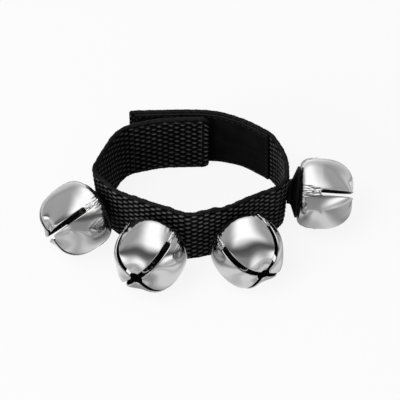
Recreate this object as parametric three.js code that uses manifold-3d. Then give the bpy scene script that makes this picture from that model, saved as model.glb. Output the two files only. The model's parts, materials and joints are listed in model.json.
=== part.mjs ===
// Wrist bells: a webbing strap closed into an oval cuff by a hook-and-loop overlap at the back,
// with riveted jingle bells standing out from its front.
// Millimetres, +Z up. The cuff stands on its lower edge, the bells face -Y and both ends of X.

import * as THREE from "three";
import { mergeVertices } from "three/addons/utils/BufferGeometryUtils.js";
import Module from "manifold-3d";

const wasm = await Module();
wasm.setup();

// Webbing strap
const webbingWidth = 25.4;
const webbingThickness = 1.6;
const cuffWidth = 68.6;
const cuffDepth = 49.6;
const stationStep = 1.4;
const endCornerRadius = 2.5;
const flexGap = 0.5;

// Hook-and-loop patches and the seams that hold them
const patchHeight = 24;
const hookThickness = 0.9;
const hookLength = 27;
const pileThickness = 0.75;
const pileLength = 52;
const patchEndMargin = 1.6;
const sewnGap = 0.08;
const seamInset = 0.9;
const threadWidth = 0.5;
const threadThickness = 0.35;

// Bell shells
const bellDiameter = 25;
const bellWall = 0.5;
const bellBaseDiameter = 18.3;
const bellBaseDepth = 7.2;
const bellReach = 12.6;
const slotWidth = 2;
const tipHoleSide = 4.6;
const tipFlatDiameter = 13.6;
const poleBore = 1.6;
const tipSlopeShare = 0.7;
const tableClearance = 0.1;

// How square the bell's outline is, as the power of its curve: 2 is an ellipse. Towards the tip the
// metal stands out beside the slots and is drawn in at the middle of each petal.
const shoulderPower = 2.5;
const slotPower = 2.55;
const petalPower = 1.88;

// Balls that ring the bells
const ballDiameter = 7;
const ballClearance = 0.25;

// Dished discs between the webbing and the bells
const discRimDiameter = 18.2;
const discWaistDiameter = 8.8;
const discHeight = 3.85;
const discNeck = 1.3;
const discWall = 1;
const discEdge = 0.7;

// Rivets and the washers that they are clinched over
const rivetShank = 2.8;
const rivetHeadDiameter = 6.2;
const rivetHeadHeight = 1.1;
const rivetTailDiameter = 4.8;
const rivetTailHeight = 0.7;
const washerDiameter = 6;
const washerThickness = 0.7;
const shankClearance = 0.3;
const seatGap = 0.15;
const rivetCrownShare = 0.7;
const rivetHeadRimShare = 1 / 3;
const rivetHeadDomeShare = 0.8;

// One overrun for every cutting tool
const overrun = 2;

// Facets round each turned piece, and steps along its curves
const shellFacets = 32;
const discFacets = 24;
const rivetFacets = 16;
const ballFacets = 16;
const ballRings = 12;
const shoulderSteps = 5;
const cheekSteps = 6;
const tipSteps = 2;
const roundCutSteps = 4;
const routeDivisions = 3000;
const routeTries = 4000;

// Flats where the bells are riveted: place as shares of half the cuff, heading of the bell from -Y
// towards +X in degrees, tilt of the webbing in degrees, turn of the bell's slots in degrees.
const seatShares = [
  { x: -0.909, y: -0.343, heading: -50, lean: 4, turn: 59.9 },
  { x: -0.276, y: -0.901, heading: -23.8, lean: -0.5, turn: 53.7 },
  { x: 0.41, y: -0.831, heading: 28.2, lean: 4, turn: 52.8 },
  { x: 0.984, y: -0.171, heading: 86.9, lean: 2.8, turn: 40.6 },
];
const seatFlat = 6.4;

// The strap seen from above, as shares of half the cuff, from the end on the inside of the overlap
// round the left, front and right to the end on its outside. A number stands for a bell's flat.
const routeShares = [
  [0.19, 0.812],
  [0.077, 0.814],
  [-0.209, 0.803],
  [-0.378, 0.772],
  [-0.533, 0.718],
  [-0.684, 0.645],
  [-0.796, 0.484],
  [-0.88, 0.224],
  [-0.962, -0.05],
  [-0.985, -0.16],
  0,
  [-0.754, -0.572],
  [-0.619, -0.677],
  [-0.478, -0.774],
  1,
  [-0.075, -1.008],
  [0.015, -1.012],
  [0.12, -0.975],
  2,
  [0.714, -0.599],
  [0.89, -0.483],
  3,
  [0.979, 0.09],
  [0.938, 0.305],
  [0.856, 0.517],
  [0.736, 0.656],
  [0.565, 0.811],
  [0.353, 0.922],
  [0.245, 0.951],
  [0.05, 0.975],
  [-0.32, 0.967],
  [-0.663, 0.95],
];

// Tilt of the webbing away from the flats, top edge outwards, in degrees.
const insideLean = 1.2;
const leftLean = 4.2;
const rightLean = -2.6;
const pileLean = -2.2;
const overlapLean = 1.4;

// Where the webbing bends as the cuff opens, as shares of half the cuff.
const leftFlexShare = [-0.9, 0.16];
const rightFlexShare = [0.915, 0.36];

const black = { color: 0x0b0b0d, roughness: 0.85, metalness: 0 };
const materials = {
  webbing: new THREE.MeshStandardMaterial(black),
  hook: new THREE.MeshStandardMaterial({ ...black, color: 0x101012, roughness: 0.7 }),
  pile: new THREE.MeshStandardMaterial({ ...black, color: 0x060607, roughness: 1 }),
  thread: new THREE.MeshStandardMaterial({ ...black, color: 0x141416, roughness: 0.6 }),
  disc: new THREE.MeshStandardMaterial({ ...black, color: 0x0a0a0b, roughness: 0.55 }),
  nickel: new THREE.MeshStandardMaterial({ color: 0xd6d6d6, roughness: 0.12, metalness: 1 }),
  steel: new THREE.MeshStandardMaterial({ color: 0xb9babc, roughness: 0.25, metalness: 1 }),
};

// A closed geometry as a solid that can be cut and joined.
function toSolid(geometry) {
  const bare = geometry.clone();
  bare.deleteAttribute("normal");
  bare.deleteAttribute("uv");
  const merged = mergeVertices(bare);
  return new wasm.Manifold(
    new wasm.Mesh({
      numProp: 3,
      vertProperties: new Float32Array(merged.attributes.position.array),
      triVerts: new Uint32Array(merged.index.array),
    }),
  );
}

// A solid back as a geometry.
function toGeometry(solid) {
  const mesh = solid.getMesh();
  const geometry = new THREE.BufferGeometry();
  geometry.setAttribute("position", new THREE.BufferAttribute(mesh.vertProperties, 3));
  geometry.setIndex(new THREE.BufferAttribute(mesh.triVerts, 1));
  geometry.computeVertexNormals();
  return geometry;
}

function named(name, geometry, material) {
  const mesh = new THREE.Mesh(geometry, material);
  mesh.name = name;
  return mesh;
}

// A profile of [radius, height] pairs turned about +Z.
function turned(profile, facets) {
  const points = profile.map(([radius, height]) => new THREE.Vector2(radius, height));
  return new THREE.LatheGeometry(points, facets).rotateX(Math.PI / 2);
}

// A straight cylinder about +Z from one height to another.
function cylinder(diameter, low, high, facets) {
  return new THREE.CylinderGeometry(diameter / 2, diameter / 2, high - low, facets)
    .rotateX(Math.PI / 2)
    .translate(0, 0, (low + high) / 2);
}

const halfWidth = (cuffWidth - webbingThickness) / 2;
const halfDepth = (cuffDepth - webbingThickness) / 2;

function planPoint([xShare, yShare]) {
  return new THREE.Vector3(xShare * halfWidth, yShare * halfDepth, 0);
}

// Heading of a flat: the way its bell faces and the way the strap runs across it.
function seatDirections(seat) {
  const heading = THREE.MathUtils.degToRad(seat.heading);
  return {
    outward: new THREE.Vector3(Math.sin(heading), -Math.cos(heading), 0),
    along: new THREE.Vector3(Math.cos(heading), Math.sin(heading), 0),
  };
}

// The centre line of the webbing at mid height.
function strapRoute() {
  const points = routeShares.flatMap((entry) => {
    if (Array.isArray(entry)) return [planPoint(entry)];
    const seat = seatShares[entry];
    const centre = planPoint([seat.x, seat.y]);
    const { along } = seatDirections(seat);
    const stopShares = [-1, -0.6, 0.6, 1];
    return stopShares.map((share) => centre.clone().addScaledVector(along, (share * seatFlat) / 2));
  });
  const curve = new THREE.CatmullRomCurve3(points, false, "centripetal");
  curve.arcLengthDivisions = routeDivisions;
  return curve;
}

const route = strapRoute();
const strapLength = route.getLength();

// Arc length along the strap of the place nearest to a plan point.
function arcNear(point) {
  let best = 0;
  let least = Infinity;
  for (let i = 0; i <= routeTries; i++) {
    const gap = route.getPointAt(i / routeTries).distanceToSquared(point);
    if (gap < least) {
      least = gap;
      best = i / routeTries;
    }
  }
  return best * strapLength;
}

const seatArcs = seatShares.map((seat) => arcNear(planPoint([seat.x, seat.y])));
const leftFlexArc = arcNear(planPoint(leftFlexShare));
const rightFlexArc = arcNear(planPoint(rightFlexShare));
const pileStartArc = strapLength - patchEndMargin - pileLength;
const overlapArc = strapLength - patchEndMargin - hookLength;

// Tilt of the webbing against arc length, straight between these places.
const leanStops = [
  [0, insideLean],
  [hookLength, insideLean],
  [leftFlexArc, leftLean],
  ...seatShares.map((seat, i) => [seatArcs[i], seat.lean]),
  [rightFlexArc, rightLean],
  [pileStartArc, pileLean],
  [(pileStartArc + overlapArc) / 2, pileLean],
  [overlapArc, overlapLean],
  [strapLength, overlapLean],
];

function leanAt(arc) {
  const next = leanStops.findIndex(([stop]) => stop >= arc);
  if (next <= 0) return THREE.MathUtils.degToRad(leanStops[0][1]);
  const [fromArc, fromLean] = leanStops[next - 1];
  const [toArc, toLean] = leanStops[next];
  const share = (arc - fromArc) / (toArc - fromArc);
  return THREE.MathUtils.degToRad(THREE.MathUtils.lerp(fromLean, toLean, share));
}

// A point of the strap: arc length along it, offset outwards from its centre line, height.
function strapPoint(arc, offset, height) {
  const share = THREE.MathUtils.clamp(arc / strapLength, 0, 1);
  const tangent = route.getTangentAt(share);
  const outward = new THREE.Vector3(tangent.y, -tangent.x, 0);
  const tilt = Math.tan(leanAt(arc)) * (height - webbingWidth / 2);
  const point = route.getPointAt(share).addScaledVector(outward, offset + tilt);
  point.z = height;
  return point;
}

// A strip of constant section that follows the strap, closed at both ends.
function strip(fromArc, toArc, inner, outer, low, high) {
  const steps = Math.max(2, Math.ceil((toArc - fromArc) / stationStep));
  const corners = [
    [inner, low],
    [outer, low],
    [outer, high],
    [inner, high],
  ];
  const positions = [];
  const index = [];
  for (let i = 0; i <= steps; i++) {
    const arc = THREE.MathUtils.lerp(fromArc, toArc, i / steps);
    corners.forEach(([offset, height]) => positions.push(...strapPoint(arc, offset, height)));
  }
  for (let i = 0; i < steps; i++) {
    for (let k = 0; k < 4; k++) {
      const a = 4 * i + k;
      const b = 4 * i + ((k + 1) % 4);
      index.push(a, a + 4, b, b, a + 4, b + 4);
    }
  }
  const last = 4 * steps;
  index.push(0, 1, 2, 0, 2, 3, last, last + 2, last + 1, last, last + 3, last + 2);
  const geometry = new THREE.BufferGeometry();
  geometry.setAttribute("position", new THREE.Float32BufferAttribute(positions, 3));
  geometry.setIndex(index);
  return geometry;
}

// A patch sewn flat on the webbing, on its outer (+1) or inner (-1) face.
function patch(fromArc, toArc, side, thickness) {
  const near = webbingThickness / 2 + sewnGap;
  const faces = [side * near, side * (near + thickness)].sort((a, b) => a - b);
  const low = (webbingWidth - patchHeight) / 2;
  return strip(fromArc, toArc, faces[0], faces[1], low, low + patchHeight);
}

// The box of thread round a patch, standing proud on the other face of the webbing.
function seam(fromArc, toArc, side) {
  const near = webbingThickness / 2 + sewnGap;
  const faces = [side * near, side * (near + threadThickness)].sort((a, b) => a - b);
  const low = (webbingWidth - patchHeight) / 2 + seamInset;
  const high = webbingWidth - low;
  const from = fromArc + seamInset;
  const to = toArc - seamInset;
  const whole = strip(from, to, faces[0], faces[1], low, high);
  const middle = strip(
    from + threadWidth,
    to - threadWidth,
    faces[0] - overrun,
    faces[1] + overrun,
    low + threadWidth,
    high - threadWidth,
  );
  return toGeometry(toSolid(whole).subtract(toSolid(middle)));
}

// A quarter-round cut that takes the sharp corner off a free end of the webbing.
function endCorner(arc, towards, height, upwards) {
  const shape = new THREE.Shape();
  const r = endCornerRadius;
  shape.moveTo(-overrun, -overrun);
  shape.lineTo(r, -overrun);
  shape.lineTo(r, 0);
  shape.absarc(r, r, r, -Math.PI / 2, -Math.PI, true);
  shape.lineTo(-overrun, r);
  shape.closePath();
  const depth = webbingThickness + 2 * overrun;
  const settings = { depth, bevelEnabled: false, curveSegments: roundCutSteps };
  const cut = new THREE.ExtrudeGeometry(shape, settings);
  cut.translate(0, 0, -depth / 2);
  const tangent = route.getTangentAt(arc / strapLength).multiplyScalar(towards);
  const up = new THREE.Vector3(0, 0, upwards);
  const across = new THREE.Vector3().crossVectors(tangent, up);
  const place = new THREE.Matrix4().makeBasis(tangent, up, across);
  place.setPosition(strapPoint(arc, 0, height));
  return toSolid(cut.applyMatrix4(place));
}

// Placement of a bell: its origin on the webbing's outer face, +Z out along the rivet, +Y up.
function seatMatrix(i) {
  const seat = seatShares[i];
  const { outward, along } = seatDirections(seat);
  const lean = THREE.MathUtils.degToRad(seat.lean);
  const axis = outward.multiplyScalar(Math.cos(lean)).add(new THREE.Vector3(0, 0, -Math.sin(lean)));
  const up = new THREE.Vector3().crossVectors(axis, along);
  const height = bellDiameter / 2 + tableClearance + girthHeight * Math.sin(lean);
  const matrix = new THREE.Matrix4().makeBasis(along, up, axis);
  return matrix.setPosition(strapPoint(seatArcs[i], webbingThickness / 2, height));
}

// Heights along the rivet, from the webbing's outer face outwards
const discLow = seatGap;
const discHigh = discLow + discHeight;
const baseLow = discHigh + seatGap;
const baseHigh = baseLow + bellWall;
const headLow = baseHigh + seatGap;
const girthHeight = baseLow + bellBaseDepth;
const washerHigh = -webbingThickness - seatGap;
const washerLow = washerHigh - washerThickness;
const tailHigh = washerLow - seatGap;
const boreDiameter = rivetShank + 2 * shankClearance;

// A point of a quarter of a rounded square, from [0, 1] at no turn to [1, 0] at a quarter turn.
function quarterPoint(turn, power) {
  const out = Math.sin(turn);
  const up = Math.cos(turn);
  const scale = Math.pow(Math.pow(out, power) + Math.pow(up, power), -1 / power);
  return [out * scale, up * scale];
}

// Half the outline of a bell, drawn in by an inset: flat base, tight shoulder, cheek, flatter tip.
function bellOutline(inset, tipPower) {
  const baseRadius = bellBaseDiameter / 2 - inset;
  const girth = bellDiameter / 2 - inset;
  const depth = bellBaseDepth - inset;
  const reach = bellReach - inset;
  const points = [];
  for (let i = 0; i <= shoulderSteps; i++) {
    const [out, up] = quarterPoint((Math.PI / 2) * (i / shoulderSteps), shoulderPower);
    points.push([THREE.MathUtils.lerp(baseRadius, girth, out), girthHeight - depth * up]);
  }
  const domeHeight = (radius) => reach * Math.pow(1 - Math.pow(radius / girth, tipPower), 1 / tipPower);
  const crease = tipFlatDiameter / 2;
  const creaseHeight = domeHeight(crease);
  const lastTurn = Math.atan2(creaseHeight / reach, crease / girth);
  for (let i = 1; i <= cheekSteps; i++) {
    const [up, out] = quarterPoint(lastTurn * (i / cheekSteps), tipPower);
    points.push([girth * out, girthHeight + reach * up]);
  }
  for (let i = 1; i <= tipSteps; i++) {
    const radius = THREE.MathUtils.lerp(crease, poleBore / 2, i / tipSteps);
    const rise = (domeHeight(radius) - creaseHeight) * tipSlopeShare;
    points.push([radius, girthHeight + creaseHeight + rise]);
  }
  return points;
}

// The closed section of a bell's wall.
function bellSection(tipPower) {
  return [
    [boreDiameter / 2, baseLow],
    ...bellOutline(0, tipPower),
    ...bellOutline(bellWall, tipPower).reverse(),
    [boreDiameter / 2, baseHigh],
    [boreDiameter / 2, baseLow],
  ];
}

// A ring whose section changes four times round, from one under each slot to one in each petal.
function fourSided(slotSection, petalSection, facets) {
  const geometry = turned(slotSection, facets);
  const position = geometry.attributes.position;
  const count = slotSection.length;
  for (let i = 0; i < position.count; i++) {
    const angle = (2 * Math.PI * Math.floor(i / count)) / facets;
    const share = (1 - Math.cos(4 * angle)) / 2;
    const radius = THREE.MathUtils.lerp(slotSection[i % count][0], petalSection[i % count][0], share);
    const height = THREE.MathUtils.lerp(slotSection[i % count][1], petalSection[i % count][1], share);
    position.setXYZ(i, radius * Math.sin(angle), -radius * Math.cos(angle), height);
  }
  return geometry;
}

// The slots between the petals: a cross of two round-ended cuts and a square hole at the tip.
function bellCutters() {
  const top = girthHeight + bellReach + overrun;
  const across = bellDiameter + 2 * overrun;
  const shape = new THREE.Shape();
  shape.moveTo(slotWidth / 2, girthHeight + slotWidth / 2);
  shape.lineTo(slotWidth / 2, top);
  shape.lineTo(-slotWidth / 2, top);
  shape.lineTo(-slotWidth / 2, girthHeight + slotWidth / 2);
  shape.absarc(0, girthHeight + slotWidth / 2, slotWidth / 2, Math.PI, 2 * Math.PI, false);
  const settings = { depth: across, bevelEnabled: false, curveSegments: roundCutSteps };
  const slot = new THREE.ExtrudeGeometry(shape, settings);
  slot.translate(0, 0, -across / 2).rotateX(Math.PI / 2);
  const other = slot.clone().rotateZ(Math.PI / 2);
  const holeLow = girthHeight + bellReach / 2;
  const hole = new THREE.BoxGeometry(tipHoleSide, tipHoleSide, top - holeLow);
  hole.rotateZ(Math.PI / 4).translate(0, 0, (holeLow + top) / 2);
  return toSolid(slot).add(toSolid(other)).add(toSolid(hole));
}

function bellShell() {
  const shell = fourSided(bellSection(slotPower), bellSection(petalPower), shellFacets);
  return toGeometry(toSolid(shell).subtract(bellCutters()));
}

function bellBall() {
  return new THREE.SphereGeometry(ballDiameter / 2, ballFacets, ballRings);
}

// A dished disc: a narrow neck on the webbing and a cone up to a wide rim under the bell's base.
function backingDisc() {
  const waist = discWaistDiameter / 2;
  const rim = discRimDiameter / 2;
  const floor = discLow + discNeck + discWall;
  return turned(
    [
      [boreDiameter / 2, discLow],
      [waist, discLow],
      [waist, discLow + discNeck],
      [rim, discHigh - discEdge],
      [rim, discHigh],
      [rim - discWall, discHigh],
      [waist - discWall / 2, floor],
      [boreDiameter / 2, floor],
      [boreDiameter / 2, discLow],
    ],
    discFacets,
  );
}

// A rivet: domed head inside the bell, shank through the stack, clinched tail inside the cuff.
function rivet() {
  const head = rivetHeadDiameter / 2;
  const tail = rivetTailDiameter / 2;
  const tailLow = tailHigh - rivetTailHeight;
  return turned(
    [
      [0, tailLow],
      [tail * rivetCrownShare, tailLow],
      [tail, tailHigh - rivetTailHeight / 2],
      [tail, tailHigh],
      [rivetShank / 2, tailHigh],
      [rivetShank / 2, headLow],
      [head, headLow],
      [head, headLow + rivetHeadHeight * rivetHeadRimShare],
      [head * rivetCrownShare, headLow + rivetHeadHeight * rivetHeadDomeShare],
      [0, headLow + rivetHeadHeight],
    ],
    rivetFacets,
  );
}

function rivetWasher() {
  return turned(
    [
      [boreDiameter / 2, washerLow],
      [washerDiameter / 2, washerLow],
      [washerDiameter / 2, washerHigh],
      [boreDiameter / 2, washerHigh],
      [boreDiameter / 2, washerLow],
    ],
    rivetFacets,
  );
}

// The cylinder that a rivet's shank needs through the webbing.
function rivetHole(i) {
  const low = -webbingThickness - overrun;
  return toSolid(cylinder(boreDiameter, low, overrun, rivetFacets).applyMatrix4(seatMatrix(i)));
}

const halfThickness = webbingThickness / 2;

function frontWebbing() {
  const from = leftFlexArc + flexGap / 2;
  const to = rightFlexArc - flexGap / 2;
  let solid = toSolid(strip(from, to, -halfThickness, halfThickness, 0, webbingWidth));
  seatShares.forEach((_, i) => {
    solid = solid.subtract(rivetHole(i));
  });
  return toGeometry(solid);
}

function innerWebbing() {
  const to = leftFlexArc - flexGap / 2;
  const solid = toSolid(strip(0, to, -halfThickness, halfThickness, 0, webbingWidth));
  const low = endCorner(0, 1, 0, 1);
  const high = endCorner(0, 1, webbingWidth, -1);
  return toGeometry(solid.subtract(low).subtract(high));
}

function outerWebbing() {
  const from = rightFlexArc + flexGap / 2;
  const solid = toSolid(strip(from, strapLength, -halfThickness, halfThickness, 0, webbingWidth));
  const low = endCorner(strapLength, -1, 0, 1);
  const high = endCorner(strapLength, -1, webbingWidth, -1);
  return toGeometry(solid.subtract(low).subtract(high));
}

function bellGroup(i) {
  const group = new THREE.Group();
  seatMatrix(i).decompose(group.position, group.quaternion, group.scale);
  const shell = named(`bell_shell_${i + 1}`, shellGeometry, materials.nickel);
  shell.rotation.z = THREE.MathUtils.degToRad(seatShares[i].turn);
  const ball = named(`bell_ball_${i + 1}`, ballGeometry, materials.steel);
  const lean = THREE.MathUtils.degToRad(seatShares[i].lean);
  const orbit = bellDiameter / 2 - bellWall - ballClearance - ballDiameter / 2;
  ball.position.set(0, -orbit * Math.cos(lean), girthHeight + orbit * Math.sin(lean));
  group.add(shell, ball);
  group.add(named(`backing_disc_${i + 1}`, discGeometry, materials.disc));
  group.add(named(`rivet_${i + 1}`, rivetGeometry, materials.steel));
  group.add(named(`rivet_washer_${i + 1}`, washerGeometry, materials.steel));
  return group;
}

const shellGeometry = bellShell();
const ballGeometry = bellBall();
const discGeometry = backingDisc();
const rivetGeometry = rivet();
const washerGeometry = rivetWasher();

const hookFrom = patchEndMargin;
const hookTo = hookFrom + hookLength;
const pileTo = strapLength - patchEndMargin;

const cuff = new THREE.Group();
cuff.add(named("webbing_front", frontWebbing(), materials.webbing));
cuff.add(named("webbing_inner_end", innerWebbing(), materials.webbing));
cuff.add(named("webbing_outer_end", outerWebbing(), materials.webbing));
cuff.add(named("hook_patch", patch(hookFrom, hookTo, 1, hookThickness), materials.hook));
cuff.add(named("hook_patch_seam", seam(hookFrom, hookTo, -1), materials.thread));
cuff.add(named("pile_patch", patch(pileStartArc, pileTo, -1, pileThickness), materials.pile));
cuff.add(named("pile_patch_seam", seam(pileStartArc, pileTo, 1), materials.thread));
seatShares.forEach((_, i) => cuff.add(bellGroup(i)));

// The origin is the middle of the footprint, on the table.
const wristBells = new THREE.Group();
wristBells.add(cuff);
wristBells.updateMatrixWorld(true);
const box = new THREE.Box3().setFromObject(cuff, true);
cuff.position.set(-(box.min.x + box.max.x) / 2, -(box.min.y + box.max.y) / 2, -box.min.z);

export default wristBells;
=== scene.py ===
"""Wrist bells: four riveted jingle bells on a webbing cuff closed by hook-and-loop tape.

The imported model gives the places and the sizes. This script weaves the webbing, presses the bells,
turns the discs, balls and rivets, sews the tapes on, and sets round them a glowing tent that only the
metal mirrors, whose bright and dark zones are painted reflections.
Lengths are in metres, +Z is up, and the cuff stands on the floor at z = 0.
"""

import json
import logging
import math
from dataclasses import dataclass
from enum import Enum
from typing import Callable, Sequence

import bmesh
import bpy
import numpy as np
from mathutils import Matrix, Vector


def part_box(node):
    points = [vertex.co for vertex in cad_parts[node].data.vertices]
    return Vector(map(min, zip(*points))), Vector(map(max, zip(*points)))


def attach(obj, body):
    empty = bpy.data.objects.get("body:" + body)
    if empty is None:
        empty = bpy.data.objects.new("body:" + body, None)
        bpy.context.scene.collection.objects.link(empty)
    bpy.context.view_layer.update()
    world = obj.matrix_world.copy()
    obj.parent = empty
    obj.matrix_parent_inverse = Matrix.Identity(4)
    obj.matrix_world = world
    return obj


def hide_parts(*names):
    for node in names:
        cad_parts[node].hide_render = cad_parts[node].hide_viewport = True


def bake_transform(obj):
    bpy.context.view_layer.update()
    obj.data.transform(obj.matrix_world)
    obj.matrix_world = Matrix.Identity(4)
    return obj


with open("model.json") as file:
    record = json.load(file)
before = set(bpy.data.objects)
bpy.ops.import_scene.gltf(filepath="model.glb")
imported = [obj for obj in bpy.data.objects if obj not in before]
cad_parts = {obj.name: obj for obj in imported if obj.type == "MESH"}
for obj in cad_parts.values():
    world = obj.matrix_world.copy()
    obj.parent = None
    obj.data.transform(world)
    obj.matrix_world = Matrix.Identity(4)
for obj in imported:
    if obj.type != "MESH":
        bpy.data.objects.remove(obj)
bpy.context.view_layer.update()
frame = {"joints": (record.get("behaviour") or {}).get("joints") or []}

Array = np.ndarray
MM = 0.001
NOISE_WAVES = 7
NOISE_PACES = (0.6, 1.6)
log = logging.getLogger("wrist_bells")


class Face(Enum):
    """The two faces of the strap."""

    INNER = -1
    OUTER = 1


@dataclass(frozen=True)
class CuffSizes:
    """Sizes of the strap and of what is sewn on it."""

    width: float = 25.4 * MM
    thickness: float = 1.6 * MM
    cuff_width: float = 68.6 * MM
    cuff_depth: float = 49.6 * MM
    end_corner_radius: float = 2.5 * MM
    outer_corner_radius: float = 1.0 * MM
    patch_height: float = 24 * MM
    hook_thickness: float = 0.9 * MM
    hook_length: float = 27 * MM
    pile_thickness: float = 0.75 * MM
    pile_length: float = 52 * MM
    patch_end_margin: float = 1.6 * MM
    sewn_gap: float = 0.08 * MM
    seam_inset: float = 0.9 * MM


@dataclass(frozen=True)
class BellSizes:
    """Sizes of a bell, its ball, its disc and its rivet, along an axis out from the webbing."""

    diameter: float = 25 * MM
    wall: float = 0.5 * MM
    base_diameter: float = 18.3 * MM
    base_depth: float = 7.2 * MM
    reach: float = 12.6 * MM
    slot_width: float = 2 * MM
    tip_hole_side: float = 4.6 * MM
    tip_flat_diameter: float = 13.6 * MM
    shoulder_power: float = 2.5
    slot_power: float = 2.55
    petal_power: float = 1.88
    bore_diameter: float = 3.4 * MM
    table_clearance: float = 0.1 * MM
    ball_diameter: float = 7 * MM
    disc_rim_diameter: float = 18.2 * MM
    disc_waist_diameter: float = 8.8 * MM
    disc_height: float = 3.85 * MM
    disc_neck: float = 1.3 * MM
    disc_wall: float = 1 * MM
    disc_edge: float = 0.7 * MM
    rivet_shank: float = 2.8 * MM
    rivet_head_diameter: float = 6.2 * MM
    rivet_head_height: float = 1.1 * MM
    rivet_tail_diameter: float = 4.8 * MM
    rivet_tail_height: float = 0.7 * MM
    washer_diameter: float = 6 * MM
    washer_thickness: float = 0.7 * MM
    seat_gap: float = 0.15 * MM

    @property
    def base_low(self) -> float:
        """Height of the bell's base above the webbing's outer face."""
        return self.seat_gap + self.disc_height + self.seat_gap

    @property
    def centre(self) -> float:
        """Height of the middle of the bell above the webbing's outer face."""
        return self.base_low + self.base_depth


@dataclass(frozen=True)
class Seat:
    """The flat that carries one bell: place as shares of half the cuff, angles in degrees."""

    x_share: float
    y_share: float
    heading: float
    lean: float
    turn: float


CUFF = CuffSizes()
BELL = BellSizes()

# The bells' seats from the left round the front, and the stops on each one's flat. The last turn is
# 2 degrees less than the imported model's, so that the bell's dark inside shows over its slots.
SEAT_SHARES = (
    Seat(-0.909, -0.343, -50.0, 4.0, 59.9),
    Seat(-0.276, -0.901, -23.8, -0.5, 53.7),
    Seat(0.41, -0.831, 28.2, 4.0, 52.8),
    Seat(0.984, -0.171, 86.9, 2.8, 38.6),
)
SEAT_FLAT = 6.4 * MM
SEAT_STOP_SHARES = (-1.0, -0.6, 0.6, 1.0)

# The strap from above as shares of half the cuff, from its end inside the overlap round the left,
# front and right to its end outside the overlap. A number stands for a bell's flat.
ROUTE_SHARES = (
    (0.19, 0.812), (0.077, 0.814), (-0.209, 0.803), (-0.378, 0.772), (-0.533, 0.718),
    (-0.684, 0.645), (-0.796, 0.484), (-0.88, 0.224), (-0.962, -0.05), (-0.985, -0.16), 0,
    (-0.754, -0.572), (-0.619, -0.677), (-0.478, -0.774), 1, (-0.075, -1.008), (0.015, -1.012),
    (0.12, -0.975), 2, (0.714, -0.599), (0.89, -0.483), 3, (0.979, 0.09), (0.938, 0.305),
    (0.856, 0.517), (0.736, 0.656), (0.565, 0.811), (0.353, 0.922), (0.245, 0.951), (0.05, 0.975),
    (-0.32, 0.967), (-0.663, 0.95),
)
LEFT_FLEX_SHARE = (-0.9, 0.16)
RIGHT_FLEX_SHARE = (0.915, 0.36)


@dataclass(frozen=True)
class Leans:
    """Tilt of the webbing between the bells' flats, top edge outwards, in degrees."""

    inside: float = 1.2
    left: float = 4.2
    right: float = -2.6
    pile: float = -2.2
    overlap: float = 1.4


def smooth_step(values: Array, low: float, high: float) -> Array:
    """An eased ramp.

    Args:
        values: Where to read the ramp.
        low: Where it starts from 0.
        high: Where it reaches 1.

    Returns:
        The ramp's values, from 0 to 1.
    """
    t = np.clip((np.asarray(values) - low) / (high - low), 0, 1)
    return t * t * (3 - 2 * t)


def smooth_window(values: Array, rise: tuple[float, float], fall: tuple[float, float]) -> Array:
    """An eased ramp up to 1 and down again.

    Args:
        values: Where to read it.
        rise: Where it starts to rise and reaches 1.
        fall: Where it starts to fall and reaches 0.

    Returns:
        The ramps' values, from 0 to 1.
    """
    return smooth_step(values, *rise) * (1 - smooth_step(values, *fall))


def smooth_noise(first: Array, second: Array, seed: int, waves: int = NOISE_WAVES) -> Array:
    """A seeded, smooth, repeatable noise made of a few crossed waves.

    Args:
        first: First coordinate, in waves.
        second: Second coordinate, in waves.
        seed: Number that chooses the noise.
        waves: How many waves are summed.

    Returns:
        Noise of about -1 to 1.
    """
    random = np.random.default_rng(seed)
    total = np.zeros(np.broadcast(first, second).shape)
    for _ in range(waves):
        heading = random.uniform(0, 2 * math.pi)
        pace = random.uniform(*NOISE_PACES) * 2 * math.pi
        phase = random.uniform(0, 2 * math.pi)
        total += np.sin(pace * (math.cos(heading) * first + math.sin(heading) * second) + phase)
    return total / math.sqrt(waves)


@dataclass(frozen=True)
class Ripple:
    """A smooth noise over the strap, with a size and a seed of its own."""

    size: float
    seed: int
    waves: int = NOISE_WAVES

    def at(self, along: Array, across: Array) -> Array:
        """The noise, of about -1 to 1, by length along and height across the strap."""
        return smooth_noise(along / self.size, across / self.size, self.seed, self.waves)


def bind(piece: bpy.types.Object, node: str, body: str) -> None:
    """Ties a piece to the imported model.

    Args:
        piece: The piece.
        node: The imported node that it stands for.
        body: The body that it rides on.
    """
    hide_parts(node)
    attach(piece, body)


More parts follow.
